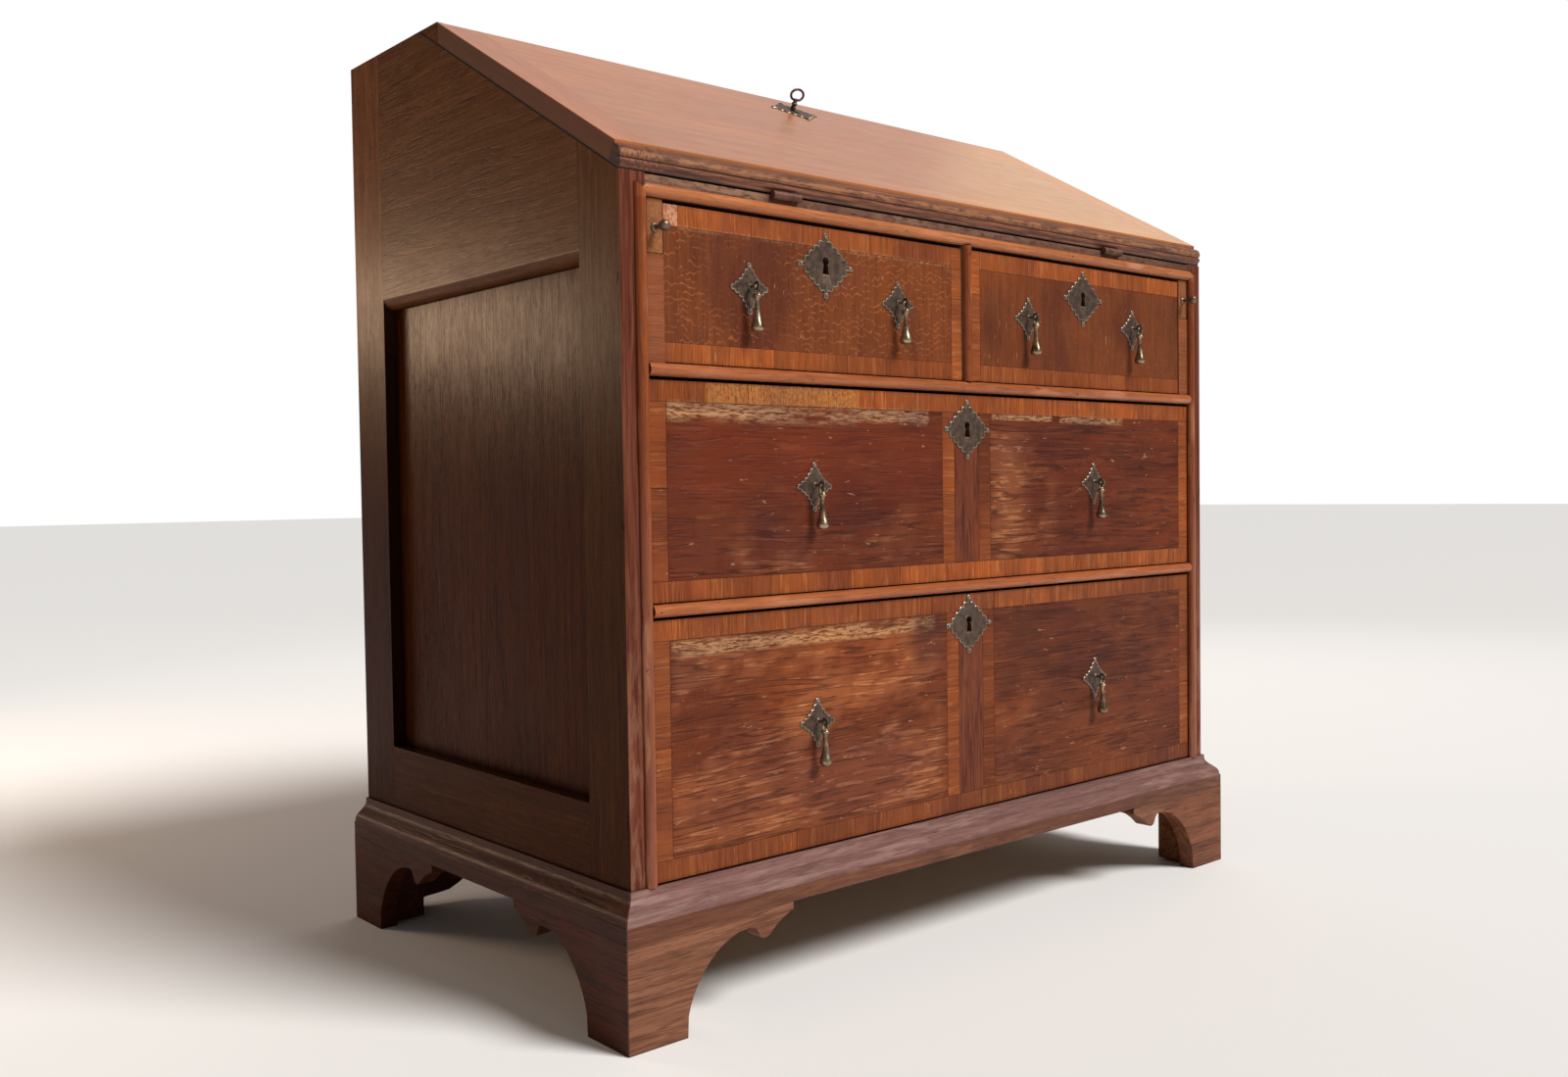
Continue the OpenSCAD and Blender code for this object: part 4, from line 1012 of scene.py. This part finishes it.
def plate_mesh(bm, outline, centre, place, hole=None):
    """A cast plate: a worn bevel round a slightly hollow face, pierced where hole is given."""
    n = len(outline)
    rim = shrink(outline, 0.75, centre)
    inner = shrink(outline, 1.5, centre)

    def ring(points, h):
        return [bm.verts.new(place(u, v, h)) for u, v in points]

    def bridge(lo, hi, edge=0.0):
        faces = [bm.faces.new((lo[i - 1], lo[i], hi[i], hi[i - 1])) for i in range(n)]
        tag(bm, faces, dict(edge=edge))
    tagged(bm)
    back, side = ring(outline, 0.0), ring(outline, PLATE * 0.55)
    top, face = ring(rim, PLATE), ring(inner, PLATE - 0.16)
    bridge(back, side, 0.6)
    bridge(side, top, 1.0)
    bridge(top, face, 0.75)
    if hole:
        cut = polar(*hole, centre, n)
        lip = [(u + (u - centre[0]) * 0.12, v + (v - centre[1]) * 0.07) for u, v in cut]
        a, b, c = ring(lip, PLATE - 0.16), ring(cut, PLATE - 0.5), ring(cut, 0.0)
        bridge(face, a)
        bridge(a, b, 0.5)
        bridge(b, c)
        bridge(c, back)
    else:
        for row, h in ((face, PLATE - 0.1), (back, 0.0)):
            middle = bm.verts.new(place(*centre, h))
            for i in range(n):
                bm.faces.new((row[i - 1], row[i], middle))


def pins(bm, spots, place):
    head = [(1.9, -0.3), (1.9, 0), (1.6, 0.5), (0.95, 0.85), (0, 1.0)]
    for u, v in spots:
        lathe(bm, head, lambda a, b, h, u=u, v=v: place(u + a, v + b, PLATE + h), 20, edge=0.7)


def on_front(x, z):
    """Places (u, v) on a drawer's face round (x, z), and h out of it."""
    return lambda u, v, h: P(x + u, FACE_Y - h, z + v)


def torus(bm, major, minor, place):
    turns = [2 * math.pi * i / 40 for i in range(40)]
    tube(bm, [(major * math.cos(a), major * math.sin(a)) for a in turns], minor, place)


DROP = smooth_profile([(0, -7.4), (2.2, -7.6), (3.9, -8.6), (4.3, -10.0), (3.5, -11.5), (2.3, -12.6),
                       (2.05, -15.0), (2.2, -19), (2.7, -24), (3.5, -29), (4.5, -33), (5.6, -36.4),
                       (6.2, -39.2), (6.0, -41.4), (4.9, -43.0), (3.2, -43.9), (1.4, -44.4), (0, -44.5)])


STAPLE_Y, STAPLE_UP = -10.5, 2  # its ring's middle: in front of the case, and over the plate's


def handle(d, letter, x, z):
    """A plate, the staple through it and the drop that hangs from the staple."""
    z_pin = z + STAPLE_UP
    node = d + "_drawer_brasses"
    bm = bmesh.new()
    plate_mesh(bm, handle_outline(), (0, 1), on_front(x, z))
    pins(bm, ((0, 21), (0, -21)), on_front(x, z))
    finish_mesh(f"{d}_plate_{letter}", bm, M["plate"], node, 32)
    bm = bmesh.new()
    # The staple: a bent wire whose legs pass the plate, with a raised collar at its foot
    lathe(bm, [(3.4, 1.0), (3.3, 1.7), (2.7, 2.3), (1.9, 2.9), (1.6, 4.6), (1.4, 7.4), (1.2, 8.8)],
          lambda a, b, h: P(x + a, FACE_Y - h, z_pin + b), 24, edge=0.3)
    torus(bm, 3.4, 1.15, lambda u, v, w: P(x + w, STAPLE_Y + u, z_pin + v))
    finish_mesh(f"{d}_staple_{letter}", bm, M["plate"], node, 32)
    # The drop's long eye hangs through the staple
    bm = bmesh.new()
    torus(bm, 3.0, 1.15, lambda u, v, w: P(x + u, STAPLE_Y + w, z_pin - 4.4 + v * 1.46))
    lathe(bm, DROP, lambda a, b, h: P(x + a, STAPLE_Y + b, z_pin + h), 36)
    finish_mesh(f"{d}_drop_{letter}_made", bm, M["drop"], f"{d}_drawer_drop_{letter}", 50)


def escutcheon(d, place, node):
    bm = bmesh.new()
    plate_mesh(bm, escutcheon_outline(), (0, 1.5), place, hole=KEYHOLE)
    pins(bm, ((33.3, 0), (-33.3, 0), (0, 28.8), (0, -28.8)), place)
    finish_mesh(d + "_escutcheon", bm, M["plate"], node, 32)


for d, spots, z, lock in (("left", (-310.5, -107.5), 694, (-210.7, 725)),
                          ("right", (107.5, 310.5), 694, (210.7, 725)),
                          ("upper", (-229.5, 229.5), 503.5, (0, 565)),
                          ("lower", (-229.5, 229.5), 266.5, (0, 349))):
    for letter, x in zip("ab", spots):
        handle(d, letter, x, z)
    escutcheon(d, on_front(*lock), d + "_drawer_brasses")

KEY_UP = 342.96  # from the hinge line to the key's axis


def on_fall(u, v, h):
    """A point u along the fall, v up the slope and h out of it, in millimetres."""
    return HINGE + Vector((u * MM, 0, 0)) + UP * (v * MM) + OUT * (h * MM)


escutcheon("fall", lambda u, v, h: on_fall(u, KEY_UP - 4.6 + v, 20 + h), "fall_escutcheon")

KNOB = smooth_profile([(4.4, 0), (4.4, 0.9), (3.4, 1.6), (2.4, 2.6), (2.05, 5.2), (2.1, 7.6), (2.9, 9.4),
                       (4.2, 11.2), (5.0, 13.6), (5.1, 15.6), (4.6, 17.6), (3.1, 19.2), (1.4, 19.9),
                       (0, 20)])
for side, x in (("left", -421.5), ("right", 421.5)):
    bm = bmesh.new()
    lathe(bm, KNOB, lambda a, b, h: P(x + a, -h, 739.8 + b), 32)
    finish_mesh(side + "_loper_knob_made", bm, M["knob"], side + "_loper_knob", 50)


# ---- key
def block(bm, place, u0, u1, v0, v1, h0, h1):
    c = [bm.verts.new(place(u, v, h)) for h in (h0, h1) for u, v in ((u0, v0), (u1, v0), (u1, v1), (u0, v1))]
    for q in ((3, 2, 1, 0), (4, 5, 6, 7), (0, 1, 5, 4), (1, 2, 6, 5), (2, 3, 7, 6), (3, 0, 4, 7)):
        bm.faces.new([c[i] for i in q])


def in_lock(a, b, h):
    return on_fall(a, KEY_UP + b, h)


def key():
    bm = bmesh.new()
    lathe(bm, smooth_profile([(0, 2.8), (2.3, 2.8), (2.5, 3.4), (2.5, 22.8), (3.4, 23.6), (3.4, 24.9),
                              (2.6, 25.8), (2.5, 27.2), (3.6, 28.1), (3.6, 29.4), (2.6, 30.6), (2.3, 32.2),
                              (1.6, 33.6), (0, 33.8)]), in_lock, 32)
    # The bit, in two steps with a notch between them
    foot, shank = -8.6, -1.0
    for h0, h1, notch in ((3.0, 5.0, 0), (6.0, 8.2, 0), (5.0, 6.0, 2.4)):
        block(bm, in_lock, -1.2, 1.2, foot + notch, shank, h0, h1)
    # Bow: an oval ring with a small kidney cusp where it meets the shank
    path = []
    for i in range(72):
        a = 2 * math.pi * i / 72
        cusp = math.exp(-(a / 0.33) ** 2) + math.exp(-((2 * math.pi - a) / 0.33) ** 2)
        path.append((9.8 * math.sin(a), 40 - 6.9 * math.cos(a) + 1.2 * cusp))
    tube(bm, path, 1.5, lambda u, v, w: on_fall(u, KEY_UP + w, v))
    finish_mesh("key_made", bm, M["key"], "key", 45)


key()
for d in ("left", "right"):
    crafted(d + "_inner_drawer", M["inside"], 0.4)


# ---- camera, floor and light
def aim(ob, target):
    ob.rotation_euler = (Vector(target) - ob.location).to_track_quat("-Z", "Y").to_euler()


LENS, SENSOR = 31.976, 36
EYE = Vector((-1.16905, -1.29493, 0.50043))
PITCH, ROLL, YAW = math.radians(-1.9698), math.radians(-0.8059), math.radians(41.0364)
cam = bpy.data.cameras.new("camera")
cam.sensor_width = SENSOR
cam.lens = LENS
cam.clip_start, cam.clip_end = 0.01, 100
camera = in_scene(cam, "camera")
ahead = Vector((math.sin(YAW), math.cos(YAW), 0))
right = Vector((math.cos(YAW), -math.sin(YAW), 0))
look = ahead * math.cos(PITCH) + Vector((0, 0, math.sin(PITCH)))
high = Vector((0, 0, math.cos(PITCH))) - ahead * math.sin(PITCH)
m = Matrix((right * math.cos(ROLL) + high * math.sin(ROLL),
            high * math.cos(ROLL) - right * math.sin(ROLL), -look)).transposed().to_4x4()
m.translation = EYE
camera.matrix_world = m
SCENE.camera = camera


def lamp(data, at, target):
    ob = in_scene(data, data.name)
    ob.location = at
    aim(ob, target)


def area(name, at, target, size, power, colour):
    light = bpy.data.lights.new(name, "AREA")
    light.shape = "RECTANGLE"
    light.size, light.size_y = size
    light.energy = power
    light.color = colour
    lamp(light, at, target)


sun = bpy.data.lights.new("key light", "SUN")
sun.energy, sun.angle, sun.color = 3.5, math.radians(22), (1.0, 0.97, 0.93)
lamp(sun, (1.25, -2.7, 2.9), (0, 0, 0))
area("ceiling light", (2.04, 1.5, 2.4), (0, -0.1, 0.9), (3.4, 2.4), 14, (1.0, 0.88, 0.90))
area("gloss light", (2.9, 1.04, 2.05), (0.3, -0.1, 0.9), (1.4, 1.0), 3.2, (1.0, 0.78, 0.36))
area("sheen light", (-1.62, 2.1, 0.97), (-0.46, 0, 0.66), (0.7, 0.22), 15, (1.0, 0.68, 0.44))

# A white backdrop that lights the piece only weakly
LIT, SEEN = 0.1, 1.0
world = bpy.data.worlds.new("studio")
SCENE.world = world
world.use_nodes = True
tree = world.node_tree
lit, seen = tree.nodes["Background"], tree.nodes.new("ShaderNodeBackground")
for n, strength in ((lit, LIT), (seen, SEEN)):
    n.inputs["Color"].default_value = (1.0, 1.0, 1.0, 1.0)
    n.inputs["Strength"].default_value = strength
rays, both = tree.nodes.new("ShaderNodeLightPath"), tree.nodes.new("ShaderNodeMixShader")
tree.links.new(rays.outputs["Is Camera Ray"], both.inputs[0])
tree.links.new(lit.outputs[0], both.inputs[1])
tree.links.new(seen.outputs[0], both.inputs[2])
tree.links.new(both.outputs[0], tree.nodes["World Output"].inputs["Surface"])
SCENE.view_settings.view_transform = "Standard"

me = bpy.data.meshes.new("floor")
bm = bmesh.new()
bmesh.ops.create_grid(bm, x_segments=1, y_segments=1, size=30)  # metres
bm.to_mesh(me)
bm.free()
floor = in_scene(me, "floor")
ft = Tree("pale floor", rough=0.85)
ft.put("Base Color", (0.92, 0.92, 0.92))
me.materials.append(ft.mat)

bpy.context.view_layer.update()
